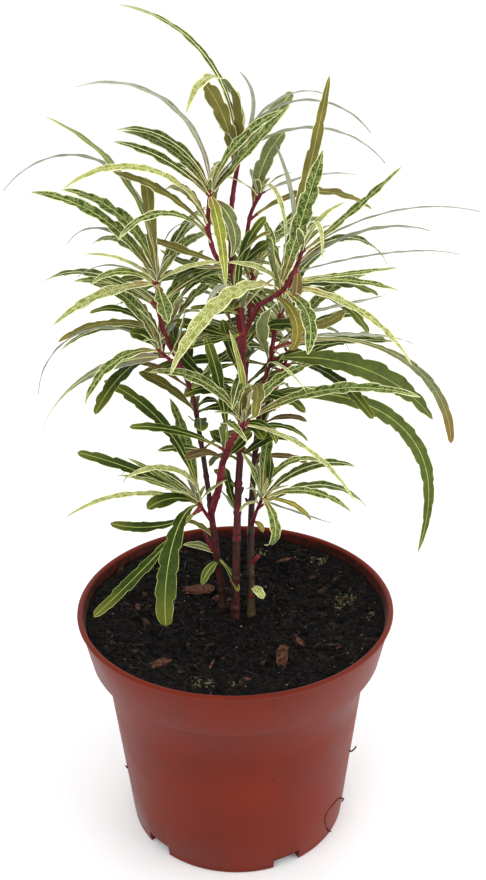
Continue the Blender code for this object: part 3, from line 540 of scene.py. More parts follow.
def seated_on_tip(points, host_points):
    """Start the path just clear of the carrier's flat tip and square to it."""
    tip = host_points[-1]
    direction = (tip - host_points[-2]).normalized()
    rest = [p for p, s in zip(points, lengths_along(points)) if s > TIP_CLEAR]
    return [tip + direction * GAP, tip + direction * TIP_RUN] + rest


def seated(keys, radius, host, on_tip, limbs):
    """The smooth path through the key places, from the flat end that clears its carrier."""
    path = smooth_path(keys, LIMB_STEP)
    if on_tip:
        return seated_on_tip(path, limbs[host])
    return seated_on_side(path, radius, limbs[host], *LIMBS[host][1:3])


def limb_paths():
    """The path of every limb, from the flat end that its solid starts with."""
    paths = {}
    for name, (keys, foot, _, host, _, _) in LIMBS.items():
        if host:
            paths[name] = seated(keys, foot, host, keys[0] == LIMBS[host][0][-1], paths)
        else:
            path = smooth_path(keys, LIMB_STEP)
            upright = path[0] + Vector((0, 0, FOOT_UPRIGHT))
            rest = [p for p in path if p.z > upright.z + FOOT_UPRIGHT]
            paths[name] = [path[0], upright] + rest
    return paths


def tuft_paths(limbs):
    """The path of every tuft's own stem."""
    return {name: seated(*row[:4], limbs) for name, row in MASSES.items()}


def join_parts(parts):
    """The points, faces and further lists of several shapes, each as one list."""
    points, faces, *others = [], [], *([] for _ in parts[0][2:])
    for some_points, some_faces, *some_others in parts:
        first = len(points)
        points += some_points
        faces += [tuple(first + v for v in face) for face in some_faces]
        for whole, some in zip(others, some_others):
            whole += some
    return points, faces, *others


# ---- objects ----

def add_object(name, data):
    obj = bpy.data.objects.new(name, data)
    bpy.context.scene.collection.objects.link(obj)
    return obj


def add_mesh(name, points, faces, edges=()):
    """A smooth mesh object from points in millimetres."""
    mesh = bpy.data.meshes.new(name)
    mesh.from_pydata([p * MM for p in points], edges, faces)
    mesh.update()
    mesh.shade_smooth()
    return add_object(name, mesh)


def mesh_from(shape, name):
    """A mesh from a shape that is being edited, which ends there."""
    mesh = bpy.data.meshes.new(name)
    shape.to_mesh(mesh)
    shape.free()
    return mesh


def dress(obj, *mats):
    """Turn the faces outward and give the piece its materials."""
    shape = bmesh.new()
    shape.from_mesh(obj.data)
    bmesh.ops.recalc_face_normals(shape, faces=shape.faces)
    shape.to_mesh(obj.data)
    shape.free()
    for mat in mats:
        obj.data.materials.append(mat)


def place_piece(obj, slot, *nodes):
    """Let the finished piece ride with the pot and stand for its solids."""
    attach(obj, "root")
    if nodes:
        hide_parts(*nodes)


def applied(obj):
    """The object's modifiers made its plain mesh."""
    graph = bpy.context.evaluated_depsgraph_get()
    mesh = bpy.data.meshes.new_from_object(obj.evaluated_get(graph))
    obj.modifiers.clear()
    obj.data = mesh


def add_values(mesh, name, values):
    """One named number for each point."""
    mesh.attributes.new(name, "FLOAT", "POINT").data.foreach_set("value", values)


# ---- nodes and materials ----

SOCKETS = {tuple: "NodeSocketColor", float: "NodeSocketFloat", int: "NodeSocketInt",
           type(None): "NodeSocketGeometry"}
BLACK = (0.0, 0.0, 0.0, 1.0)


class Nodes:
    """Adds nodes to one tree; an input may be a plain value or another node's output."""

    def __init__(self, tree):
        self.tree = tree

    def add(self, kind, inputs=(), **settings):
        node = self.tree.nodes.new(kind)
        for key, value in settings.items():
            setattr(node, key, value)
        self.feed(node, inputs)
        return node

    def feed(self, node, inputs):
        for key, value in dict(inputs).items():
            if isinstance(value, bpy.types.NodeSocket):
                self.tree.links.new(value, node.inputs[key])
            else:
                node.inputs[key].default_value = value

    def math(self, operation, *values):
        return self.add("ShaderNodeMath", enumerate(values), operation=operation).outputs[0]

    def times(self, a, b):
        return self.math("MULTIPLY", a, b)

    def plus(self, a, b):
        return self.math("ADD", a, b)

    def minus(self, a, b):
        return self.math("SUBTRACT", a, b)

    def step(self, value, low, high, out_low=0.0, out_high=1.0):
        """A soft step of a value from one level to another."""
        return self.add("ShaderNodeMapRange", {
            "Value": value, "From Min": low, "From Max": high, "To Min": out_low,
            "To Max": out_high}, interpolation_type="SMOOTHSTEP").outputs["Result"]

    def mix(self, share, a, b):
        """Colours a and b mixed by share."""
        return self.add("ShaderNodeMix", {0: share, 6: a, 7: b}, data_type="RGBA",
                        clamp_factor=True).outputs[2]

    def noise(self, vector, scale, detail=3.0, roughness=0.55):
        return self.add("ShaderNodeTexNoise", {
            "Vector": vector, "Scale": scale, "Detail": detail,
            "Roughness": roughness}).outputs["Fac"]

    def fibre(self, place, scale, detail, roughness):
        """Noise drawn out along the upright axis."""
        drawn = self.add("ShaderNodeMapping", {"Vector": place, "Scale": scale}).outputs[0]
        return self.noise(drawn, 1.0, detail, roughness)

    def place(self):
        return self.add("ShaderNodeTexCoord").outputs["Object"]

    def split(self, vector):
        return self.add("ShaderNodeSeparateXYZ", {0: vector}).outputs

    def scaled(self, vector, factor):
        return self.add("ShaderNodeVectorMath", {0: vector, "Scale": factor},
                        operation="SCALE").outputs[0]

    def bump(self, shader, height, strength, distance):
        relief = self.add("ShaderNodeBump", {"Height": height, "Strength": strength,
                                             "Distance": distance * MM})
        self.feed(shader, {"Normal": relief.outputs["Normal"]})


def new_group(name, inputs, outputs, kind="ShaderNodeTree"):
    """An empty node group; the default of each socket tells its kind."""
    group = bpy.data.node_groups.new(name, kind)
    for side, sockets in (("INPUT", inputs), ("OUTPUT", outputs)):
        for label, default in sockets.items():
            socket = group.interface.new_socket(label, in_out=side,
                                                socket_type=SOCKETS[type(default)])
            if default is not None:
                socket.default_value = default
    nodes = Nodes(group)
    return nodes, nodes.add("NodeGroupInput").outputs, nodes.add("NodeGroupOutput")


def new_material(name, roughness, specular=0.5):
    """A plain material with its nodes and its shader."""
    mat = bpy.data.materials.new(name)
    mat.use_nodes = True
    nodes = Nodes(mat.node_tree)
    shader = mat.node_tree.nodes["Principled BSDF"]
    nodes.feed(shader, {"Roughness": roughness, "Specular IOR Level": specular})
    return mat, nodes, shader


def mottle_group():
    """Two sizes of soft blotches between two colours, with a fine relief."""
    if "mottle" in bpy.data.node_groups:
        return bpy.data.node_groups["mottle"]
    nodes, given, result = new_group("mottle", {
        "Dark": (0.1, 0.1, 0.1, 1), "Light": (0.3, 0.3, 0.3, 1), "Patch Scale": 60.0,
        "Grain Scale": 900.0, "Grain Share": 0.35}, {"Color": BLACK, "Height": 0.0, "Patch": 0.0})
    place = nodes.place()
    patch = nodes.noise(place, given["Patch Scale"], 4)
    grain = nodes.noise(place, given["Grain Scale"], 2)
    weighed = nodes.times(nodes.minus(grain, 0.5), given["Grain Share"])
    share = nodes.plus(nodes.step(patch, 0.3, 0.7), nodes.times(weighed, 2.0))
    nodes.feed(result, {"Color": nodes.mix(share, given["Dark"], given["Light"]),
                        "Height": grain, "Patch": patch})
    return nodes.tree


def mottle(nodes, dark, light, patch, grain, share):
    """Blotches between two colours: their colour, their relief and the large ones alone."""
    return nodes.add("ShaderNodeGroup", {
        "Dark": (*dark, 1), "Light": (*light, 1), "Patch Scale": patch, "Grain Scale": grain,
        "Grain Share": share}, node_tree=mottle_group()).outputs


def mottled_material(name, roughness, specular, blotches, relief):
    mat, nodes, shader = new_material(name, roughness, specular)
    skin = mottle(nodes, *blotches)
    nodes.feed(shader, {"Base Color": skin["Color"]})
    nodes.bump(shader, skin["Height"], *relief)
    return mat


def soil_material(name, dark, light, patch):
    return mottled_material(name, 0.95, 0.1, (dark, light, patch, 2400.0, 0.5), (0.6, 0.35))


# ---- pot ----

def inner_radius(z):
    """Radius of the pot's inner wall at a height."""
    if z >= BAND_FOOT:
        share = (z - BAND_FOOT) / BAND_HEIGHT
        return BAND_FOOT_RADIUS + (RIM_RADIUS - LIP_REACH - BAND_FOOT_RADIUS) * share - WALL
    share = z / BAND_FOOT
    return BODY_FOOT_RADIUS + (BODY_TOP_RADIUS - BODY_FOOT_RADIUS) * share - WALL


def rounded(across, up, radius, start, end, count=4):
    """Points of an arc in the profile's plane, from start to end in degrees."""
    turns = [math.radians(start + (end - start) * i / (count - 1)) for i in range(count)]
    return [(across + radius * math.cos(t), up + radius * math.sin(t)) for t in turns]


def pot_profile():
    """Half section of the pot from the middle of its floor round the rim to its underside."""
    lip_foot = POT_HEIGHT - LIP_HEIGHT
    under_lip = RIM_RADIUS - LIP_REACH
    foot = BODY_FOOT_RADIUS
    profile = [(0, FLOOR), (inner_radius(FLOOR) - 2, FLOOR)]
    profile += rounded(inner_radius(FLOOR) - FLOOR_ROUND, FLOOR + FLOOR_ROUND, FLOOR_ROUND, -90, 0)
    profile += [(inner_radius(BAND_FOOT - 1), BAND_FOOT),
                (inner_radius(BAND_FOOT + 1.5), BAND_FOOT + 1.5),
                (inner_radius(POT_HEIGHT - EDGE_ROUND), POT_HEIGHT - EDGE_ROUND)]
    profile += rounded(inner_radius(POT_HEIGHT) + EDGE_ROUND, POT_HEIGHT - EDGE_ROUND,
                       EDGE_ROUND, 170, 95)
    profile += rounded(RIM_RADIUS - LIP_ROUND, POT_HEIGHT - LIP_ROUND, LIP_ROUND, 85, 0, 5)
    profile += rounded(RIM_RADIUS - 1.0, lip_foot + EDGE_ROUND, EDGE_ROUND, 0, -80)
    profile += [(under_lip - 0.45, lip_foot - 0.1), (under_lip - 0.6, lip_foot - 0.8),
                (BAND_FOOT_RADIUS + 0.25, BAND_FOOT + 1.0)]
    profile += rounded(BAND_FOOT_RADIUS - BAND_ROUND, BAND_FOOT + BAND_ROUND, BAND_ROUND, 0, -90)
    profile += [(BODY_TOP_RADIUS + 0.5, BAND_FOOT - 0.1), (BODY_TOP_RADIUS, BAND_FOOT - 0.6)]
    for share in (0.75, 0.5, 0.25):
        profile.append((foot + (BODY_TOP_RADIUS - foot) * share, 1.0 + (BAND_FOOT - 1.6) * share))
    profile += [(foot + 0.35, 3.4), (foot + 0.05, 2.6), (foot + 0.05, 1.2)]
    profile += rounded(foot - LIP_ROUND, LIP_ROUND, LIP_ROUND, 0, -90)
    return profile + [(foot - 3.0, 0.0), (foot - 4.0, 0.5), (0, 0.5)]


def shaded_wall_mask(nodes, place, height):
    """White on the pot's inner wall above the soil, black elsewhere; the pot's painted shade goes
    there.
    """
    across, deep, _ = nodes.split(place)
    level = nodes.add("ShaderNodeCombineXYZ", {0: across, 1: deep}).outputs[0]
    radius = nodes.add("ShaderNodeVectorMath", {0: level}, operation="LENGTH").outputs["Value"]
    lean = (RIM_RADIUS - LIP_REACH - BAND_FOOT_RADIUS) / BAND_HEIGHT
    upright = nodes.math("MULTIPLY_ADD", height, -lean, radius)
    wall = (inner_radius(POT_HEIGHT) - lean * POT_HEIGHT) * MM
    inside = nodes.times(
        nodes.step(upright, wall + 0.9 * MM, wall + 0.4 * MM),
        nodes.step(height, (POT_HEIGHT - 0.2) * MM, (POT_HEIGHT - 1.8) * MM))
    return nodes.times(inside, nodes.step(height, (SOIL_TOP - 8) * MM, (SOIL_TOP - 6) * MM))


def plastic_material(look):
    """Dull moulded plastic with smudges of soil, pale scuffs, specks and painted shade on the
    inner wall above the soil.
    """
    mat, nodes, shader = new_material("terracotta plastic", look.dullness, 0.12)
    base = Vector(look.plastic)
    skin = mottle(nodes, base * 0.86, base * 1.12, 38.0, 1500.0, 0.16)
    place = nodes.place()
    height = nodes.split(place)[2]
    smudge = nodes.step(nodes.fibre(place, (90, 90, 9), 5, 0.65), 0.58, 0.80)
    low = nodes.step(height, 0.030, 0.0)
    dirty = nodes.times(smudge, nodes.math("MULTIPLY_ADD", low, 0.35, 0.16))
    colour = nodes.mix(dirty, skin["Color"], SMUDGE_TINT)
    pale = nodes.step(nodes.noise(place, 260, 6, 0.7), 0.70, 0.76)
    colour = nodes.mix(nodes.times(pale, 0.3), colour, SCUFF_TINT)
    cells = nodes.add("ShaderNodeTexVoronoi", {"Vector": place, "Scale": 230.0,
                                               "Randomness": 1.0}).outputs
    rare = nodes.math("GREATER_THAN", nodes.split(cells["Color"])[0], 0.92)
    speck = nodes.times(nodes.step(cells["Distance"], 0.16, 0.06), rare)
    colour = nodes.mix(nodes.times(speck, 0.8), colour, SPECK_TINT)
    # Painted shade: the inner wall above the soil is darkened, in uneven blotches, towards a
    # near-black red
    wall_shade = nodes.step(nodes.noise(place, 420, 4, 0.6), 0.3, 0.62, 0.45, 0.95)
    wall_shade = nodes.times(shaded_wall_mask(nodes, place, height), wall_shade)
    rough = nodes.step(skin["Patch"], 0.3, 0.7, look.dullness - 0.06, look.dullness + 0.10)
    nodes.feed(shader, {"Base Color": nodes.mix(wall_shade, colour, INNER_WALL_SHADE_TINT), "Roughness": rough,
                        "Sheen Weight": 0.09, "Sheen Roughness": 0.35})
    nodes.bump(shader, skin["Height"], 0.22, 0.10)
    return mat


def build_pot(look):
    """Turn the profile round the axis and cut the drain slots."""
    profile = [Vector((r, 0, z)) for r, z in pot_profile()]
    pot = add_mesh("pot_shell", profile, [], [(i, i + 1) for i in range(len(profile) - 1)])
    screw = pot.modifiers.new("turn", "SCREW")
    screw.angle = math.tau
    screw.steps = screw.render_steps = POT_STEPS
    screw.use_merge_vertices = True
    screw.merge_threshold = 0.01 * MM
    slots = bpy.data.collections.new("slots")
    for index in range(SLOTS):
        angle = math.radians(SLOT_FIRST + index * 360.0 / SLOTS)
        shape = bmesh.new()
        bmesh.ops.create_cube(shape, size=1.0)
        bmesh.ops.scale(shape, vec=Vector(SLOT_SIZE) * MM, verts=shape.verts)
        slot = bpy.data.objects.new("slot", mesh_from(shape, "slot"))
        slot.location = Vector((*around(BODY_FOOT_RADIUS, angle), 0)) * MM
        slot.rotation_euler = (0, 0, angle)
        slots.objects.link(slot)
    bpy.context.scene.collection.children.link(slots)
    bpy.context.view_layer.update()
    cut = pot.modifiers.new("slots", "BOOLEAN")
    cut.operand_type = "COLLECTION"
    cut.collection = slots
    cut.solver = "EXACT"
    applied(pot)
    for slot in list(slots.objects):
        bpy.data.objects.remove(slot)
    bpy.data.collections.remove(slots)
    pot.data.materials.clear()
    dress(pot, plastic_material(look))
    pot.data.shade_smooth()
    pot.data.set_sharp_from_angle(angle=math.radians(SHARP_ANGLE))
    place_piece(pot, "pot", "pot")


# ---- soil ----

def soil_height(x, y):
    """Height of the uneven soil at a place, in millimetres."""
    radius = math.hypot(x, y)
    rise = sum(size * noise.noise(Vector((x / wave, y / wave, 3.7)))
               for wave, size in SOIL_WAVES)
    toward_wall = min(1.0, max(0.0, (radius - EDGE_START) / (RIM_RADIUS - 5 - EDGE_START)))
    bank = EDGE_RISE * toward_wall ** 2 * (3 - 2 * toward_wall)
    calm = 1 - 0.6 * toward_wall ** 6
    mound = MOUND_HEIGHT * math.exp(-(radius / MOUND_REACH) ** 2)
    return SOIL_TOP - SOIL_SINK + rise * calm + mound + bank


def build_soil(look):
    """A closed bed: an uneven top, a ledge at the foot of the pot's band and a flat foot."""
    edge = inner_radius(SOIL_TOP + EDGE_RISE - 2.5) - GAP
    ledge = BAND_FOOT + WALL + 0.6
    rings = [(edge * (ring / SOIL_RINGS) ** 0.85, None) for ring in range(1, SOIL_RINGS + 1)]
    rings += [(inner_radius(ledge) - GAP, ledge), (inner_radius(ledge - 3.1) - GAP, ledge),
              (inner_radius(SOIL_FOOT) - GAP, SOIL_FOOT)]
    points = [Vector((0, 0, soil_height(0, 0)))]
    for radius, z in rings:
        for spoke in range(SOIL_SPOKES):
            x, y = around(radius, math.tau * spoke / SOIL_SPOKES)
            points.append(Vector((x, y, soil_height(x, y) if z is None else z)))
    points.append(Vector((0, 0, SOIL_FOOT)))
    faces = []
    for spoke in range(SOIL_SPOKES):
        near, far = 1 + spoke, 1 + (spoke + 1) % SOIL_SPOKES
        faces.append((0, near, far))
        for _ in rings[1:]:
            faces.append((near, near + SOIL_SPOKES, far + SOIL_SPOKES, far))
            near, far = near + SOIL_SPOKES, far + SOIL_SPOKES
        faces.append((far, near, len(points) - 1))
    soil = add_mesh("soil_bed", points, faces)
    peat = Vector(look.peat)
    dress(soil, soil_material("peat", peat * 0.6, peat * 2.2, 300.0))
    place_piece(soil, "soil", "soil")


def crumb_mesh(flat, long, chance):
    """One lumpy crumb of unit size."""
    shape = bmesh.new()
    bmesh.ops.create_icosphere(shape, subdivisions=1, radius=1.0)
    for vert in shape.verts:
        vert.co *= chance.uniform(0.72, 1.2)
        vert.co.x *= long
        vert.co.z *= flat
    return mesh_from(shape, "crumb")


def scatter_tree(name, crumb, mat, spread):
    """Geometry nodes that strew a crumb over a surface, as thickly as an attribute says."""
    nodes, given, result = new_group(name, {
        "Geometry": None, "Density": 1.0, "Smallest": 0.5, "Largest": 1.0, "Seed": 1},
        {"Geometry": None}, "GeometryNodeTree")
    share = nodes.add("GeometryNodeInputNamedAttribute", {"Name": spread}).outputs["Attribute"]
    points = nodes.add("GeometryNodeDistributePointsOnFaces", {
        "Mesh": given["Geometry"], "Seed": given["Seed"],
        "Density": nodes.times(given["Density"], share)})
    shape = nodes.add("GeometryNodeObjectInfo", {"Object": crumb})
    size = nodes.add("FunctionNodeRandomValue", {
        2: given["Smallest"], 3: given["Largest"], "Seed": given["Seed"]})
    turn = nodes.add("FunctionNodeRandomValue", {
        0: (-0.5, -0.5, 0.0), 1: (0.5, 0.5, math.tau), "Seed": given["Seed"]},
        data_type="FLOAT_VECTOR")
    strewn = nodes.add("GeometryNodeInstanceOnPoints", {
        "Points": points.outputs["Points"], "Instance": shape.outputs["Geometry"],
        "Rotation": turn.outputs[0], "Scale": size.outputs[1]})
    real = nodes.add("GeometryNodeRealizeInstances", {"Geometry": strewn.outputs["Instances"]})
    dressed = nodes.add("GeometryNodeSetMaterial", {
        "Geometry": real.outputs["Geometry"], "Material": mat})
    nodes.feed(result, {"Geometry": dressed.outputs["Geometry"]})
    return nodes.tree


def soil_patch():
    """A copy of the soil's top alone, out to just inside the wall."""
    shape = bmesh.new()
    shape.from_mesh(bpy.data.objects["soil_bed"].data)
    edge = (inner_radius(SOIL_TOP + EDGE_RISE) - LITTER_MARGIN) * MM
    spare = [f for f in shape.faces if f.normal.z < STEEPEST
             or not BARE_MIDDLE * MM <= math.hypot(*f.calc_center_median().xy) <= edge]
    bmesh.ops.delete(shape, geom=spare, context="FACES")
    mesh = mesh_from(shape, "soil_patch")
    add_values(mesh, "even", [1.0] * len(mesh.vertices))
    add_values(mesh, "moss", [
        max(math.exp(-((v.co.x / MM - x) ** 2 + (v.co.y / MM - y) ** 2) / reach ** 2)
            for x, y, reach in MOSS) for v in mesh.vertices])
    return mesh


def build_litter(look):
    patch = soil_patch()
    areas = {"even": sum(p.area for p in patch.polygons),
             "moss": sum(math.pi * (reach * MM) ** 2 for _, _, reach in MOSS)}
    chance = random.Random(SEED)
    for index, (name, row) in enumerate(LITTER.items()):
        count, small, large, flat, long, dark, light, spread = row
        crumb = add_object("crumb", crumb_mesh(flat, long, chance))
        mat = soil_material(name.replace("_", " "), dark, light, 420.0)
        litter = add_object(name, patch.copy())
        scatter = litter.modifiers.new("scatter", "NODES")
        scatter.node_group = scatter_tree(name + " scatter", crumb, mat, spread)
        settings = {"Density": count * look.litter / areas[spread], "Smallest": small * MM,
                    "Largest": large * MM, "Seed": SEED + index}
        for item in scatter.node_group.interface.items_tree:
            if item.in_out == "INPUT" and item.name in settings:
                scatter[item.identifier] = settings[item.name]
        applied(litter)
        bpy.data.objects.remove(crumb)
        place_piece(litter, "soil")


def bark_material():
    mat, nodes, shader = new_material("bark chip", 0.9, 0.1)
    grain = nodes.fibre(nodes.place(), (900, 900, 260), 4, 0.6)
    nodes.feed(shader, {"Base Color": nodes.mix(nodes.step(grain, 0.35, 0.7), *BARK_TINTS)})
    nodes.bump(shader, grain, 0.7, 0.3)
    return mat


def build_chips():
    """Flat rough flakes of bark that lie and lean on the soil."""
    whole = bmesh.new()
    for index, (x, y, heading, lean, long, wide, thick) in enumerate(CHIPS):
        made = bmesh.ops.create_icosphere(whole, subdivisions=3, radius=0.5)["verts"]
        for vert in made:
            rough = 1 + 0.5 * noise.noise(vert.co * 3.1 + Vector((index * 7, 0, 0)))
            grain = 0.12 * noise.noise(Vector((vert.co.x * 2, vert.co.y * 14, index)))
            vert.co = Vector((vert.co.x * rough * long, vert.co.y * rough * wide,
                              (vert.co.z + grain) * thick))
        turn = (Matrix.Rotation(math.radians(heading), 4, "Z")
                @ Matrix.Rotation(math.radians(-lean), 4, "Y"))
        height = soil_height(x, y) + thick * 0.3 + long * 0.35 * math.sin(math.radians(lean))
        seat = Matrix.Scale(MM, 4) @ Matrix.Translation((x, y, height)) @ turn
        bmesh.ops.transform(whole, matrix=seat, verts=made)
    chips = add_object("bark_chips", mesh_from(whole, "bark_chips"))
    chips.data.shade_smooth()
    dress(chips, bark_material())
    place_piece(chips, "soil")


# ---- stems and fibres ----

def limb_mesh(points, foot, tip, chance, youth=(0, 0), flare=0, sides=20, step=0.7):
    """Rings of a bark-relieved limb, with a swollen ring at each leaf joint and an age value."""
    dense = smooth_path(points, step)
    along = lengths_along(dense)
    across = (dense[1] - dense[0]).orthogonal().normalized()
    joints = [chance.uniform(3, NODE_GAP)]
    while joints[-1] < along[-1]:
        joints.append(joints[-1] + NODE_GAP * chance.uniform(0.6, 1.5))
    seed = chance.uniform(0, 99)
    places, ages, faces = [], [], []
    for i, place in enumerate(dense):
        ahead = (dense[min(i + 1, len(dense) - 1)] - dense[max(i - 1, 0)]).normalized()
        across = (across - ahead * across.dot(ahead)).normalized()
        other = ahead.cross(across)
        share = along[i] / along[-1]
        radius = foot + (tip - foot) * share + flare * foot * math.exp(-along[i] / FLARE_HEIGHT)
        to_joint = min(abs(along[i] - joint) for joint in joints)
        radius *= (1 + NODE_SWELL * math.exp(-(to_joint / 0.8) ** 2)
                   - NODE_WAIST * math.exp(-((to_joint - 1.5) / 0.5) ** 2))
        if share > TIP_FROM:
            radius *= TIP_SHARE
        for j in range(sides):
            turn = math.tau * j / sides
            out = across * math.cos(turn) + other * math.sin(turn)
            grain = noise.noise(Vector((out.x * 3 + seed, out.y * 3, along[i] * 0.25)))
            ridge = noise.noise(Vector((out.x * 9 + seed, out.y * 9, along[i] * 0.12)))
            places.append(place + out * radius * (1 + BARK_RELIEF * grain + BARK_RELIEF * ridge))
            ages.append(youth[0] + (youth[1] - youth[0]) * share)
    for i in range(0, (len(dense) - 1) * sides, sides):
        for j in range(sides):
            k = (j + 1) % sides
            faces.append((i + j, i + k, i + sides + k, i + sides + j))
    faces.append(tuple(range(sides))[::-1])
    faces.append(tuple(range((len(dense) - 1) * sides, len(dense) * sides)))
    return places, faces, ages


def place_limbs(name, parts, mat, slot, *nodes):
    """Make one piece of many limbs, where there are any."""
    if not parts:
        return
    points, faces, ages = join_parts(parts)
    limbs = add_mesh(name, points, faces)
    add_values(limbs.data, "age", ages)
    dress(limbs, mat)
    place_piece(limbs, slot, *nodes)


def shoot_material(look):
    """Smooth skin of a young stem: brown and woody below, crimson above, with pale pores."""
    mat, nodes, shader = new_material("shoot skin", 0.5, 0.2)
    age = nodes.add("ShaderNodeAttribute", attribute_name="age").outputs["Fac"]
    place = nodes.place()
    patch = nodes.noise(place, 210, 4)
    moved = nodes.plus(age, nodes.times(nodes.minus(patch, 0.5), 1.5))
    colour = nodes.mix(nodes.step(moved, -0.4, 0.1), (*look.green_wood, 1), (*look.wood, 1))
    colour = nodes.mix(nodes.step(moved, 0.2, 0.85), colour, (*look.crimson, 1))
    fibre = nodes.fibre(place, (1100, 1100, 90), 3, 0.6)
    colour = nodes.scaled(colour, nodes.step(fibre, 0.35, 0.65, 0.55, 1.25))
    pore = nodes.step(nodes.noise(place, 1500, 2), 0.66, 0.74)
    nodes.feed(shader, {"Base Color": nodes.mix(nodes.times(pore, 0.3), colour, PORE_TINT),
                        "Roughness": nodes.step(patch, 0.3, 0.7, 0.38, 0.6)})
    nodes.bump(shader, nodes.noise(place, 1100, 3), 0.3, 0.12)
    return mat


def slimness(limb):
    """How thick the picture shows a limb, as a share of its solid."""
    return FRONT_BOUGH_SLIMNESS if limb == "bough_front" else SLIMNESS


def build_stems(look):
    """The stems, the boughs and their short side shoots, and then the tufts' own twigs."""
    chance = random.Random(SEED)
    parts = []
    for name, (keys, foot, tip, host, *youth) in LIMBS.items():
        path = smooth_path(keys, LIMB_STEP)
        if not host:
            path[0] = path[0] - Vector((0, 0, STEM_DEPTH))
        slim = slimness(name)
        parts.append(limb_mesh(path, foot * slim, tip * slim, chance, youth, 0 if host else FLARE))
    limbs = limb_paths()
    for carrier, at, bearing, rise, length, radius in STUBS:
        line = leaf_line(point_at(limbs[carrier], at / 100), bearing, rise, length, -20, 0, 3)
        parts.append(limb_mesh([station[0] for station in line], radius * 1.15, radius * 0.7,
                               chance, STUB_YOUTH, sides=12))
    skin = shoot_material(look)
    place_limbs("stems", parts, skin, "stem_centre", *LIMBS)
    chance = random.Random(SEED + 1)
    parts = []
    for keys, radius, host, _, _ in MASSES.values():
        radius *= slimness(host)
        parts.append(limb_mesh(smooth_path(keys, LIMB_STEP), radius, radius * 0.7, chance,
                               TWIG_YOUTH, sides=14))
    place_limbs("twigs", parts, skin, "bough_front")


def build_root_hairs(look):
    """Fine roots that wander over the soil."""
    chance = random.Random(SEED + 3)
    parts = []
    for _ in range(look.root_hairs):
        turn, reach = chance.uniform(0, math.tau), HAIR_REACH * math.sqrt(chance.uniform(0.02, 1))
        x, y = around(reach, turn)
        heading = chance.uniform(0, math.tau)
        steps = chance.randint(2, 4)
        hump = chance.uniform(0.2, 1.2)
        points = []
        for i in range(steps + 1):
            if math.hypot(x, y) > HAIR_REACH + 2:
                break
            z = soil_height(x, y) + 0.2 + hump * math.sin(math.pi * i / steps)
            points.append(Vector((x, y, z)))
            heading += chance.uniform(-0.6, 0.6)
            x += HAIR_STEP * math.cos(heading)
            y += HAIR_STEP * math.sin(heading)
        if len(points) > 2:
            thick = chance.uniform(0.06, 0.13)
            parts.append(limb_mesh(points, thick, thick * 0.6, chance, sides=5, step=0.9))
    place_limbs("root_hairs", parts, soil_material("root hair", *HAIR_TINTS, 120.0), "soil")


def build_wall_strands():
    """Dried strands that cling to the pot's wall, the first one thin."""
    chance = random.Random(SEED + 5)
    parts = []
    for index, keys in enumerate(WALL_STRANDS):
        points = [Vector((*around(inner_radius(height) + WALL + out, math.radians(turn)), height))
                  for turn, height, out in keys]
        thick = 0.40 if index else 0.15
        parts.append(limb_mesh(smooth_path(points, 1.0), thick, thick * 0.6, chance, sides=8,
                               step=0.5))
    place_limbs("wall_strands", parts, soil_material("dried strand", *STRAND_TINTS, 300.0), "pot")


# ---- leaf materials ----

def blade_group():
    """Net and side veins, blotches and the tint of the tip, from a leaf's own coordinates."""
    if "leaf blade" in bpy.data.node_groups:
        return bpy.data.node_groups["leaf blade"]
    nodes, given, result = new_group("leaf blade", {
        "Green": (0.1, 0.2, 0.05, 1), "Net": (0.5, 0.5, 0.3, 1), "Tip": (0.3, 0.14, 0.03, 1),
        "Foot": (0.2, 0.05, 0.03, 1), "Net Share": 0.5, "Tip Share": 0.0, "Foot Share": 0.0},
        {"Color": BLACK, "Height": 0.0})
    times, step = nodes.times, nodes.step
    on_blade = nodes.add("ShaderNodeUVMap", uv_map="blade").outputs[0]
    own = nodes.add("ShaderNodeAttribute", attribute_name="leaf").outputs["Vector"]
    along, across, tone = nodes.split(own)
    u, w, _ = nodes.split(on_blade)
    out = nodes.math("ABSOLUTE", across)
    blotch = nodes.noise(nodes.place(), 260, 3)
    slanted = nodes.minus(u, times(nodes.math("ABSOLUTE", w), 0.9))
    phase = nodes.plus(times(slanted, 2.3), times(nodes.noise(on_blade, 0.9, 2), 5.0))
    side = step(nodes.math("SINE", phase), 0.62, 0.98)
    inside = times(step(out, 0.95, 0.78), step(out, 0.10, 0.28))
    bent = nodes.add("ShaderNodeTexNoise", {
        "Vector": on_blade, "Scale": 1.6, "Detail": 2.0}).outputs["Color"]
    swayed = nodes.add("ShaderNodeVectorMath", {0: on_blade, 1: nodes.scaled(bent, 0.7)})
    cells = nodes.add("ShaderNodeTexVoronoi", {
        "Vector": swayed.outputs[0], "Scale": 1.35, "Randomness": 1.0},
        feature="DISTANCE_TO_EDGE", voronoi_dimensions="2D").outputs["Distance"]
    net = times(step(cells, 0.22, 0.05), step(nodes.noise(on_blade, 0.45, 3), 0.34, 0.58))
    net = times(net, step(nodes.noise(on_blade, 1.9, 2), 0.36, 0.56))
    veins = nodes.math("MAXIMUM", net, times(times(side, inside), 0.45))
    bright = step(nodes.plus(blotch, times(tone, 0.35)), 0.35, 0.95, 0.72, 1.35)
    colour = nodes.mix(times(veins, given["Net Share"]), nodes.scaled(given["Green"], bright),
                       given["Net"])
    edge = times(step(out, 0.72, 1.0), 0.35)
    for share, tint in ((times(edge, given["Net Share"]), "Net"),
                        (times(step(along, 0.36, 0.06), given["Foot Share"]), "Foot"),
                        (times(step(along, 0.70, 0.98), given["Tip Share"]), "Tip")):
        colour = nodes.mix(share, colour, given[tint])
    nodes.feed(result, {"Color": colour, "Height": nodes.minus(blotch, times(side, 0.5))})
    return nodes.tree


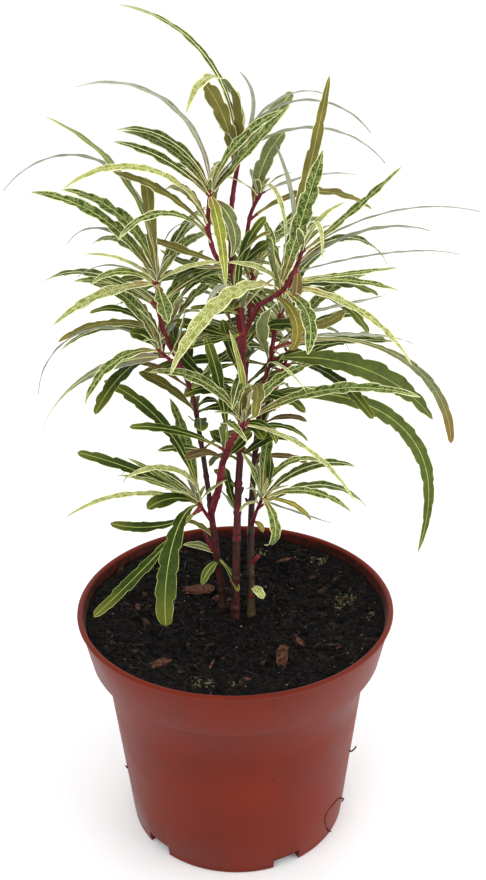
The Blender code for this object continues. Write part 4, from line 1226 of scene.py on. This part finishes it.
def blade_material(name):
    green, net, share, _, _, _, tip, foot = FINISHES[name]
    mat, nodes, shader = new_material("leaf " + name, 0.52, 0.12)
    blade = nodes.add("ShaderNodeGroup", {
        "Green": (*green, 1), "Net": (*net, 1), "Net Share": share, "Tip Share": tip,
        "Tip": TIP_TINTS[name in ("fading", "wilting")], "Foot": FOOT_TINT, "Foot Share": foot},
        node_tree=blade_group()).outputs
    nodes.feed(shader, {"Base Color": blade["Color"]})
    nodes.bump(shader, blade["Height"], 0.4, 0.25)
    return mat


def leaf_materials():
    """Every finish and tint, in a fixed order of slots."""
    mats = {name: blade_material(name) for name in FINISHES}
    for name, tint in TINTS.items():
        colour = Vector(tint)
        mats[name] = mottled_material("leaf tint " + name, 0.55, 0.12, (
            colour * 0.8, colour * 1.15, 240.0, 1800.0, 0.2), (0.2, 0.12))
    return mats


# ---- rules for the leaves that no table names ----

def pair_leaves(name, pairs, chance):
    """Leaves in crossed pairs: all round a back tuft, and on the far side of a front one."""
    leaves = []
    for index in range(pairs):
        share = (index + 1) / pairs
        start = chance.uniform(0, 90) + PAIR_TURN * index
        for opposite in (0, 180):
            bearing = start + opposite + chance.uniform(-PAIR_JITTER, PAIR_JITTER)
            rise = PAIR_RISE[0] + (PAIR_RISE[1] - PAIR_RISE[0]) * share + chance.uniform(-8, 8)
            bend = chance.uniform(*PAIR_BEND)
            shortening = (PAIR_LENGTH[1] - PAIR_LENGTH[0]) * share * chance.uniform(0.6, 1)
            kind = PAIR_KINDS[min(len(PAIR_KINDS) - 1, int(share * len(PAIR_KINDS)))]
            if name not in WHOLE_TUFTS:
                bearing = 90 + 70 * math.cos(math.radians(bearing))
            leaves.append((25 + 73 * share, bearing, rise, PAIR_LENGTH[0] + shortening, bend,
                           chance.uniform(-14, 14), kind[0] * RULE_SLIMNESS, kind))
    return leaves


def bud_leaves(count, chance):
    """Small leaves that stand close round the tip of a tuft."""
    turn = chance.uniform(0, 360)
    leaves = []
    for index in range(count):
        share = index / max(1, count - 1)
        length = BUD_LENGTH[1] + (BUD_LENGTH[0] - BUD_LENGTH[1]) * share
        kind = BUD_KINDS[index % len(BUD_KINDS)]
        leaves.append((96 + 4 * share, turn + BUD_TURN * index, 52 + 26 * share, length,
                       chance.uniform(10, 60), chance.uniform(-20, 20),
                       kind[0] * (1 - 0.4 * share), kind))
    return leaves


def inner_leaves(limbs, chance):
    """Feet and rows of the leaves that grow straight from the inner limbs."""
    leaves = []
    for name, (first, last) in INNER.items():
        count = round((last - first) * lengths_along(limbs[name])[-1] / INNER_GAP)
        for index in range(count + 1):
            foot = point_at(limbs[name], first + (last - first) * index / count)
            start = chance.uniform(-20, 20) + PAIR_TURN * index
            for opposite in (0, 180):
                kind = INNER_KINDS[(len(leaves) + index) % len(INNER_KINDS)]
                leaves.append((foot, (
                    start + opposite, chance.uniform(15, 60), chance.uniform(*INNER_LENGTH),
                    chance.uniform(10, 80), chance.uniform(-20, 20), kind[0] * RULE_SLIMNESS,
                    kind)))
    return leaves


def find_leaf(row, stem, tree):
    """The nudge of a leaf that its tuft's solid shows, or nothing where the solid has none."""
    at, bearing, rise, length, bend, turn, _, _ = row
    foot = point_at(stem, at / 100 * LEAF_TOP_SHARE)
    for swing, lift in NUDGES:
        line = leaf_line(foot, bearing + swing, rise + lift, length, bend, turn, 10)
        if all(tree.find_nearest(line[i][0], LEAF_REACH)[0] for i in (4, 6, 8, 10)):
            return bearing + swing, rise + lift
    return None


# ---- leaf shapes ----

def leaf_line(foot, bearing, rise, length, bend, turn, count):
    """Places along a leaf's midrib with their direction, side and upper face."""
    place = foot.copy()
    stations = []
    steps = count * LINE_FINENESS
    for step in range(steps + 1):
        share = step / steps
        angle = math.radians(bearing + turn * share)
        lift = math.radians(rise - bend * share)
        ahead = Vector((math.cos(angle) * math.cos(lift), math.sin(angle) * math.cos(lift),
                        math.sin(lift)))
        if step % LINE_FINENESS == 0:
            side = Vector((-math.sin(angle), math.cos(angle), 0))
            stations.append((place.copy(), side, ahead.cross(side), math.cos(angle)))
        place = place + ahead * (length / steps)
    return stations


def turned_front(side, up, last):
    """The tilt that shows the blade's upper face to the front, and stays near the last one."""
    wanted = side.cross(up).cross(FRONT)
    tilt = math.atan2(wanted.dot(up), wanted.dot(side))
    if last is None:
        over = up * math.cos(tilt) - side * math.sin(tilt)
        return tilt if over.dot(FRONT) > 0 else tilt + math.pi
    while tilt - last > math.pi / 2:
        tilt -= math.pi
    while last - tilt > math.pi / 2:
        tilt += math.pi
    return tilt


def lobe_dips(length, chance):
    """Places, depths and ease of the notches along one side of a blade, in millimetres."""
    dips = []
    at = chance.uniform(0.16, 0.3) * length
    while at < 0.93 * length:
        dips.append((at, chance.uniform(0.3, 1.0), chance.uniform(*LOBE_EASE)))
        at += chance.uniform(0.5, 1.3) * LOBE_GAP
    return dips


def notch(past, ease):
    """Depth of a notch at a distance past its lip: steep at the lip, then easing out."""
    low, high = LOBE_LIP
    if past < high:
        t = max(0.0, (past - low) / (high - low))
        return t * t * (3 - 2 * t)
    return math.exp((high - past) / ease)


def blade_half(share, length, kind, width, dips):
    """Half width of the blade at a share of its length, with its lobes."""
    _, _, petiole, fill, run_out, lobe, _, _ = kind
    stalk = min(PETIOLE_HALF, width * 0.15)
    if share <= petiole:
        return stalk
    x = (share - petiole) / (1 - petiole)
    peak = fill / (fill + run_out)
    top = peak ** fill * (1 - peak) ** run_out
    half = width / 2 * (x ** fill) * ((1 - x) ** run_out if x < 1 else 0) / top
    for at, depth, ease in dips:
        half *= 1 - lobe * depth * notch(share * length - at, ease)
    return max(half, stalk * (1 - x) + 0.12)


def blade_columns(share, half, margin, wobble):
    """Places from the midrib to the edge of one half of a blade."""
    rib = min(RIB_HALF * (1.3 - 0.7 * share), half * 0.4)
    border = min(margin * (0.75 + 0.5 * noise.noise(Vector(wobble))), half * 0.4)
    edge = max(rib + 0.02, half - border)
    return [rib] + [rib + (edge - rib) * c for c in COLUMNS] + [edge, half]


def blade_faces(count, n, petiole, finish, slots):
    """Faces of a blade of count bands and n columns, with the slot of each."""
    margin, rib, under = (slots[tint] for tint in FINISHES[finish][3:6])
    stem = slots["petiole"]
    strips = [(slots[finish], under)] * (n - 1)
    strips[0] = strips[-1] = (margin, margin)
    strips[(n - 2) // 2] = (rib, under)
    faces, looks = [], []
    for i in range(count):
        stalk = (i + 0.5) / count < petiole
        top, low = i * 2 * n, i * 2 * n + n
        for j, pair in enumerate(strips):
            faces.append((top + j, top + j + 1, top + 2 * n + j + 1, top + 2 * n + j))
            faces.append((low + j + 1, low + j, low + 2 * n + j, low + 2 * n + j + 1))
            looks += (stem, stem) if stalk else pair
        for j, order in ((0, 1), (n - 1, -1)):
            faces.append((top + j, top + 2 * n + j, low + 2 * n + j, low + j)[::order])
            looks.append(stem if stalk else margin)
    for i, order in ((0, 1), (count, -1)):
        top, low = i * 2 * n, i * 2 * n + n
        for j in range(n - 1):
            faces.append((top + j, low + j, low + j + 1, top + j + 1)[::order])
            looks.append(margin if i else stem)
    return faces, looks


def leaf_mesh(foot, row, chance, slots, look):
    """Closed blade with its petiole: points, faces, slots of the faces, own values and UVs."""
    bearing, rise, length, bend, turn, width, kind = row
    _, roll, petiole, _, _, _, margin, finish = kind
    count = max(10, round(length / STATION_GAP))
    sides = (-1, lobe_dips(length, chance)), (1, lobe_dips(length, chance))
    twist = math.radians(chance.uniform(-14, 14))
    tone = chance.uniform(0, 1)
    width *= chance.uniform(0.86, 1.04)
    wave, shift = chance.uniform(7, 12), chance.uniform(0, math.tau)
    fold = look.fold * chance.uniform(0.6, 1.3)
    blade_thick = look.thickness / MM
    points, own, uvs = [], [], []
    tilt = None
    line = leaf_line(foot, bearing, rise, length, bend, turn, count)
    for index, (place, side, up, face) in enumerate(line):
        share = index / count
        if roll == FACING:
            tilt = turned_front(side, up, tilt)
        else:
            tilt = math.radians(roll) * face + twist * share
        across = side * math.cos(tilt) + up * math.sin(tilt)
        over = up * math.cos(tilt) - side * math.sin(tilt)
        stalk = max(0.0, 1 - share / (petiole + 0.06)) ** 0.7
        thick = blade_thick + (PETIOLE_THICK - blade_thick) * stalk
        halves = []
        for sign, dips in sides:
            half = blade_half(share, length, kind, width, dips)
            halves.append(blade_columns(share, half, margin, (index * 0.4, sign * 9, tone * 50)))
        columns = [-v for v in halves[0][::-1]] + halves[1]
        for level in (1, -1):
            for v in columns:
                half = abs(columns[0] if v < 0 else columns[-1])
                reach = abs(v) / half
                swing = math.sin(math.tau * share * length / wave + shift + (1.9 if v < 0 else 0))
                ripple = look.ripple / MM * reach ** 2 * swing * min(1, half / RIPPLE_HALF)
                lift = fold * abs(v) * (1 - 0.5 * share) + ripple
                depth = thick / 2 * (1 - 0.55 * reach ** 2)
                points.append(place + across * v + over * (lift + level * depth))
                own += [share, reach * (1 if v > 0 else -1), tone]
                uvs.append((share * length, v))
    return points, *blade_faces(count, len(columns), petiole, finish, slots), own, uvs


def leaf_rows(name, limbs, stems, chance, look):
    """Foot and row of every leaf of a tuft; the middle tuft also has those of the limbs."""
    solid = frame["nodes"][name].data
    tree = BVHTree.FromPolygons([v.co / MM for v in solid.vertices],
                                [tuple(p.vertices) for p in solid.polygons])
    rows = list(LEAVES.get(name, ()))
    for row in pair_leaves(name, MASSES[name][4], chance):
        found = find_leaf(row, stems[name], tree)
        if found:
            rows.append((row[0], *found, *row[3:]))
    rows = [(point_at(stems[name], row[0] / 100 * LEAF_TOP_SHARE), row[1:])
            for row in rows + bud_leaves(look.tip_leaves, chance)]
    if name == "foliage_centre":
        carriers = {**limbs, **stems}
        rows += [(point_at(carriers[row[0]], row[1] / 100), row[2:]) for row in SPROUTS]
        rows += inner_leaves(limbs, chance)
    return rows


def build_leaves(look):
    limbs = limb_paths()
    stems = tuft_paths(limbs)
    mats = leaf_materials()
    slots = {name: index for index, name in enumerate(mats)}
    for name in MASSES:
        chance = random.Random(SEED + len(name) + sum(map(ord, name)))
        points, faces, looks, own, uvs = join_parts([
            leaf_mesh(foot, row, chance, slots, look)
            for foot, row in leaf_rows(name, limbs, stems, chance, look)])
        leaves = add_mesh(name.replace("foliage", "leaves"), points, faces)
        mesh = leaves.data
        for mat in mats.values():
            mesh.materials.append(mat)
        mesh.polygons.foreach_set("material_index", looks)
        mesh.attributes.new("leaf", "FLOAT_VECTOR", "POINT").data.foreach_set("vector", own)
        flat = [c for loop in mesh.loops for c in uvs[loop.vertex_index]]
        mesh.uv_layers.new(name="blade").data.foreach_set("uv", flat)
        dress(leaves)
        place_piece(leaves, name, name)


# ---- stage ----

def build_stage(look):
    """A pale floor, soft square lamps that face the plant, and the camera."""
    corners = [Vector(p) * FLOOR_REACH for p in ((-1, -1, 0), (1, -1, 0), (1, 1, 0), (-1, 1, 0))]
    floor = add_mesh("floor", corners, [(0, 1, 2, 3)])
    mat, nodes, shader = new_material("pale floor", 0.9)
    shade = nodes.noise(nodes.place(), 3.0, 2)
    nodes.feed(shader, {"Base Color": nodes.mix(shade, *FLOOR_TINTS)})
    floor.data.materials.append(mat)
    scene = bpy.context.scene
    scene.world = bpy.data.worlds.new("studio")
    scene.world.use_nodes = True
    sky = scene.world.node_tree.nodes["Background"]
    sky.inputs["Color"].default_value = SKY_TINT
    sky.inputs["Strength"].default_value = look.room_light
    for name, place, size, share in LAMPS:
        light = bpy.data.lights.new(name, "AREA")
        light.size = size
        light.energy = share * look.lamp_power
        lamp = add_object(name, light)
        lamp.location = place
        facing = Vector(LAMP_AIM) - Vector(place)
        lamp.rotation_euler = facing.to_track_quat("-Z", "Y").to_euler()
    camera = bpy.data.cameras.new("camera")
    camera.lens = look.lens
    camera.sensor_width = SENSOR_WIDTH
    camera.clip_start = CLIP_START
    back = Vector((0, -math.cos(look.elevation), math.sin(look.elevation)))
    eye = add_object("camera", camera)
    eye.location = Vector((look.aim_across, 0, look.aim_height)) + back * look.distance
    level = (-back).to_track_quat("-Z", "Y").to_matrix()
    eye.rotation_euler = (level @ Matrix.Rotation(look.roll, 3, "Z")).to_euler()
    scene.camera = eye
    scene.view_settings.view_transform = "Standard"


# ---- settings, operators and panel ----

class PotLook(bpy.types.PropertyGroup):
    plastic: FloatVectorProperty(name="Plastic", description="Colour of the pot's plastic",
                                 subtype="COLOR", size=3, min=0, max=1,
                                 default=(0.138, 0.0125, 0.0035))
    dullness: FloatProperty(name="Dullness", description="Roughness of the pot's plastic",
                            subtype="FACTOR", min=0, max=1, default=0.46)


class SoilLook(bpy.types.PropertyGroup):
    peat: FloatVectorProperty(name="Peat", description="Colour of the potting soil",
                              subtype="COLOR", size=3, min=0, max=1,
                              default=(0.0034, 0.0027, 0.0024))
    litter: FloatProperty(name="Litter", description="How thickly the crumbs lie on the soil",
                          subtype="FACTOR", min=0, max=2, default=1.0)
    root_hairs: IntProperty(name="Root Hairs", description="Root hairs that show on the soil",
                            min=0, max=600, default=260)


class ShootLook(bpy.types.PropertyGroup):
    wood: FloatVectorProperty(name="Wood", description="Colour of the old stems",
                              subtype="COLOR", size=3, min=0, max=1, default=(0.034, 0.012, 0.008))
    green_wood: FloatVectorProperty(name="Green Wood",
                                    description="Colour of the greenish stem's foot",
                                    subtype="COLOR", size=3, min=0, max=1,
                                    default=(0.050, 0.038, 0.012))
    crimson: FloatVectorProperty(name="Crimson", description="Colour of the young shoots",
                                 subtype="COLOR", size=3, min=0, max=1,
                                 default=(0.145, 0.012, 0.020))


class LeafLook(bpy.types.PropertyGroup):
    thickness: FloatProperty(name="Thickness", description="Thickness of a blade",
                             subtype="DISTANCE", unit="LENGTH", min=0.0001, max=0.001,
                             default=0.0003)
    fold: FloatProperty(name="Fold", description="How far a blade's halves rise from the midrib",
                        subtype="FACTOR", min=0, max=1, default=0.26)
    ripple: FloatProperty(name="Ripple", description="Height of the waves along a blade's margin",
                          subtype="DISTANCE", unit="LENGTH", min=0, max=0.002, default=0.00035)
    tip_leaves: IntProperty(name="Tip Leaves",
                            description="Small leaves round the tip of each tuft",
                            min=0, max=12, default=5)


class StageLook(bpy.types.PropertyGroup):
    room_light: FloatProperty(name="Room Light", description="Brightness of the room", min=0,
                              default=1.07)
    lamp_power: FloatProperty(name="Lamp Power", description="Power of the main lamp",
                              subtype="POWER", unit="POWER", min=0, default=4.0)
    lens: FloatProperty(name="Lens", description="Focal length in millimetres", min=1,
                        default=45.0)
    distance: FloatProperty(name="Distance", description="Distance from the aim to the camera",
                            subtype="DISTANCE", unit="LENGTH", min=0.05, default=0.3928)
    elevation: FloatProperty(name="Elevation", description="Angle of the camera above level",
                             subtype="ANGLE", unit="ROTATION", default=math.radians(24.17))
    roll: FloatProperty(name="Roll", description="Lean of the camera",
                        subtype="ANGLE", unit="ROTATION", default=math.radians(-0.605))
    aim_across: FloatProperty(name="Aim Across",
                              description="Sideways place that the camera looks at",
                              subtype="DISTANCE", unit="LENGTH", default=0.0036)
    aim_height: FloatProperty(name="Aim Height", description="Height that the camera looks at",
                              subtype="DISTANCE", unit="LENGTH", default=0.1622)


class SHRUB_OT_pot(bpy.types.Operator):
    """Turn the pot and cut its drain slots"""
    bl_idname = "shrub.pot"
    bl_label = "Make Pot"

    def execute(self, context):
        build_pot(context.scene.shrub_pot)
        return {"FINISHED"}


class SHRUB_OT_soil(bpy.types.Operator):
    """Fill the pot with uneven peat"""
    bl_idname = "shrub.soil"
    bl_label = "Fill Soil"

    def execute(self, context):
        build_soil(context.scene.shrub_soil)
        return {"FINISHED"}


class SHRUB_OT_litter(bpy.types.Operator):
    """Strew crumbs, bark, grit and root hairs over the soil, and strands on the wall"""
    bl_idname = "shrub.litter"
    bl_label = "Strew Litter"

    def execute(self, context):
        build_litter(context.scene.shrub_soil)
        build_chips()
        build_root_hairs(context.scene.shrub_soil)
        build_wall_strands()
        return {"FINISHED"}


class SHRUB_OT_stems(bpy.types.Operator):
    """Grow the stems, the boughs and the tufts' own twigs"""
    bl_idname = "shrub.stems"
    bl_label = "Grow Stems"

    def execute(self, context):
        build_stems(context.scene.shrub_shoot)
        return {"FINISHED"}


class SHRUB_OT_leaves(bpy.types.Operator):
    """Grow the leaves of every tuft"""
    bl_idname = "shrub.leaves"
    bl_label = "Grow Leaves"

    def execute(self, context):
        build_leaves(context.scene.shrub_leaf)
        return {"FINISHED"}


class SHRUB_OT_stage(bpy.types.Operator):
    """Set the floor, the light and the camera"""
    bl_idname = "shrub.stage"
    bl_label = "Set Stage"

    def execute(self, context):
        build_stage(context.scene.shrub_stage)
        return {"FINISHED"}


STEPS = (SHRUB_OT_pot, SHRUB_OT_soil, SHRUB_OT_litter, SHRUB_OT_stems, SHRUB_OT_leaves,
         SHRUB_OT_stage)
LOOKS = {"shrub_pot": PotLook, "shrub_soil": SoilLook, "shrub_shoot": ShootLook,
         "shrub_leaf": LeafLook, "shrub_stage": StageLook}


class SHRUB_PT_panel(bpy.types.Panel):
    """Settings and steps of the potted shrub"""
    bl_idname = "SHRUB_PT_panel"
    bl_label = "Potted Shrub"
    bl_space_type = "VIEW_3D"
    bl_region_type = "UI"
    bl_category = "Potted Shrub"

    def draw(self, context):
        for name, look in LOOKS.items():
            box = self.layout.box()
            for key in look.__annotations__:
                box.prop(getattr(context.scene, name), key)
        for step in STEPS:
            self.layout.operator(step.bl_idname)


def register():
    for cls in (*LOOKS.values(), *STEPS, SHRUB_PT_panel):
        bpy.utils.register_class(cls)
    for name, look in LOOKS.items():
        setattr(bpy.types.Scene, name, PointerProperty(type=look))


def unregister():
    for name in LOOKS:
        delattr(bpy.types.Scene, name)
    for cls in reversed((*LOOKS.values(), *STEPS, SHRUB_PT_panel)):
        bpy.utils.unregister_class(cls)


def main():
    register()
    bpy.ops.shrub.pot()
    bpy.ops.shrub.soil()
    bpy.ops.shrub.litter()
    bpy.ops.shrub.stems()
    bpy.ops.shrub.leaves()
    bpy.ops.shrub.stage()


if __name__ == "__main__":
    main()
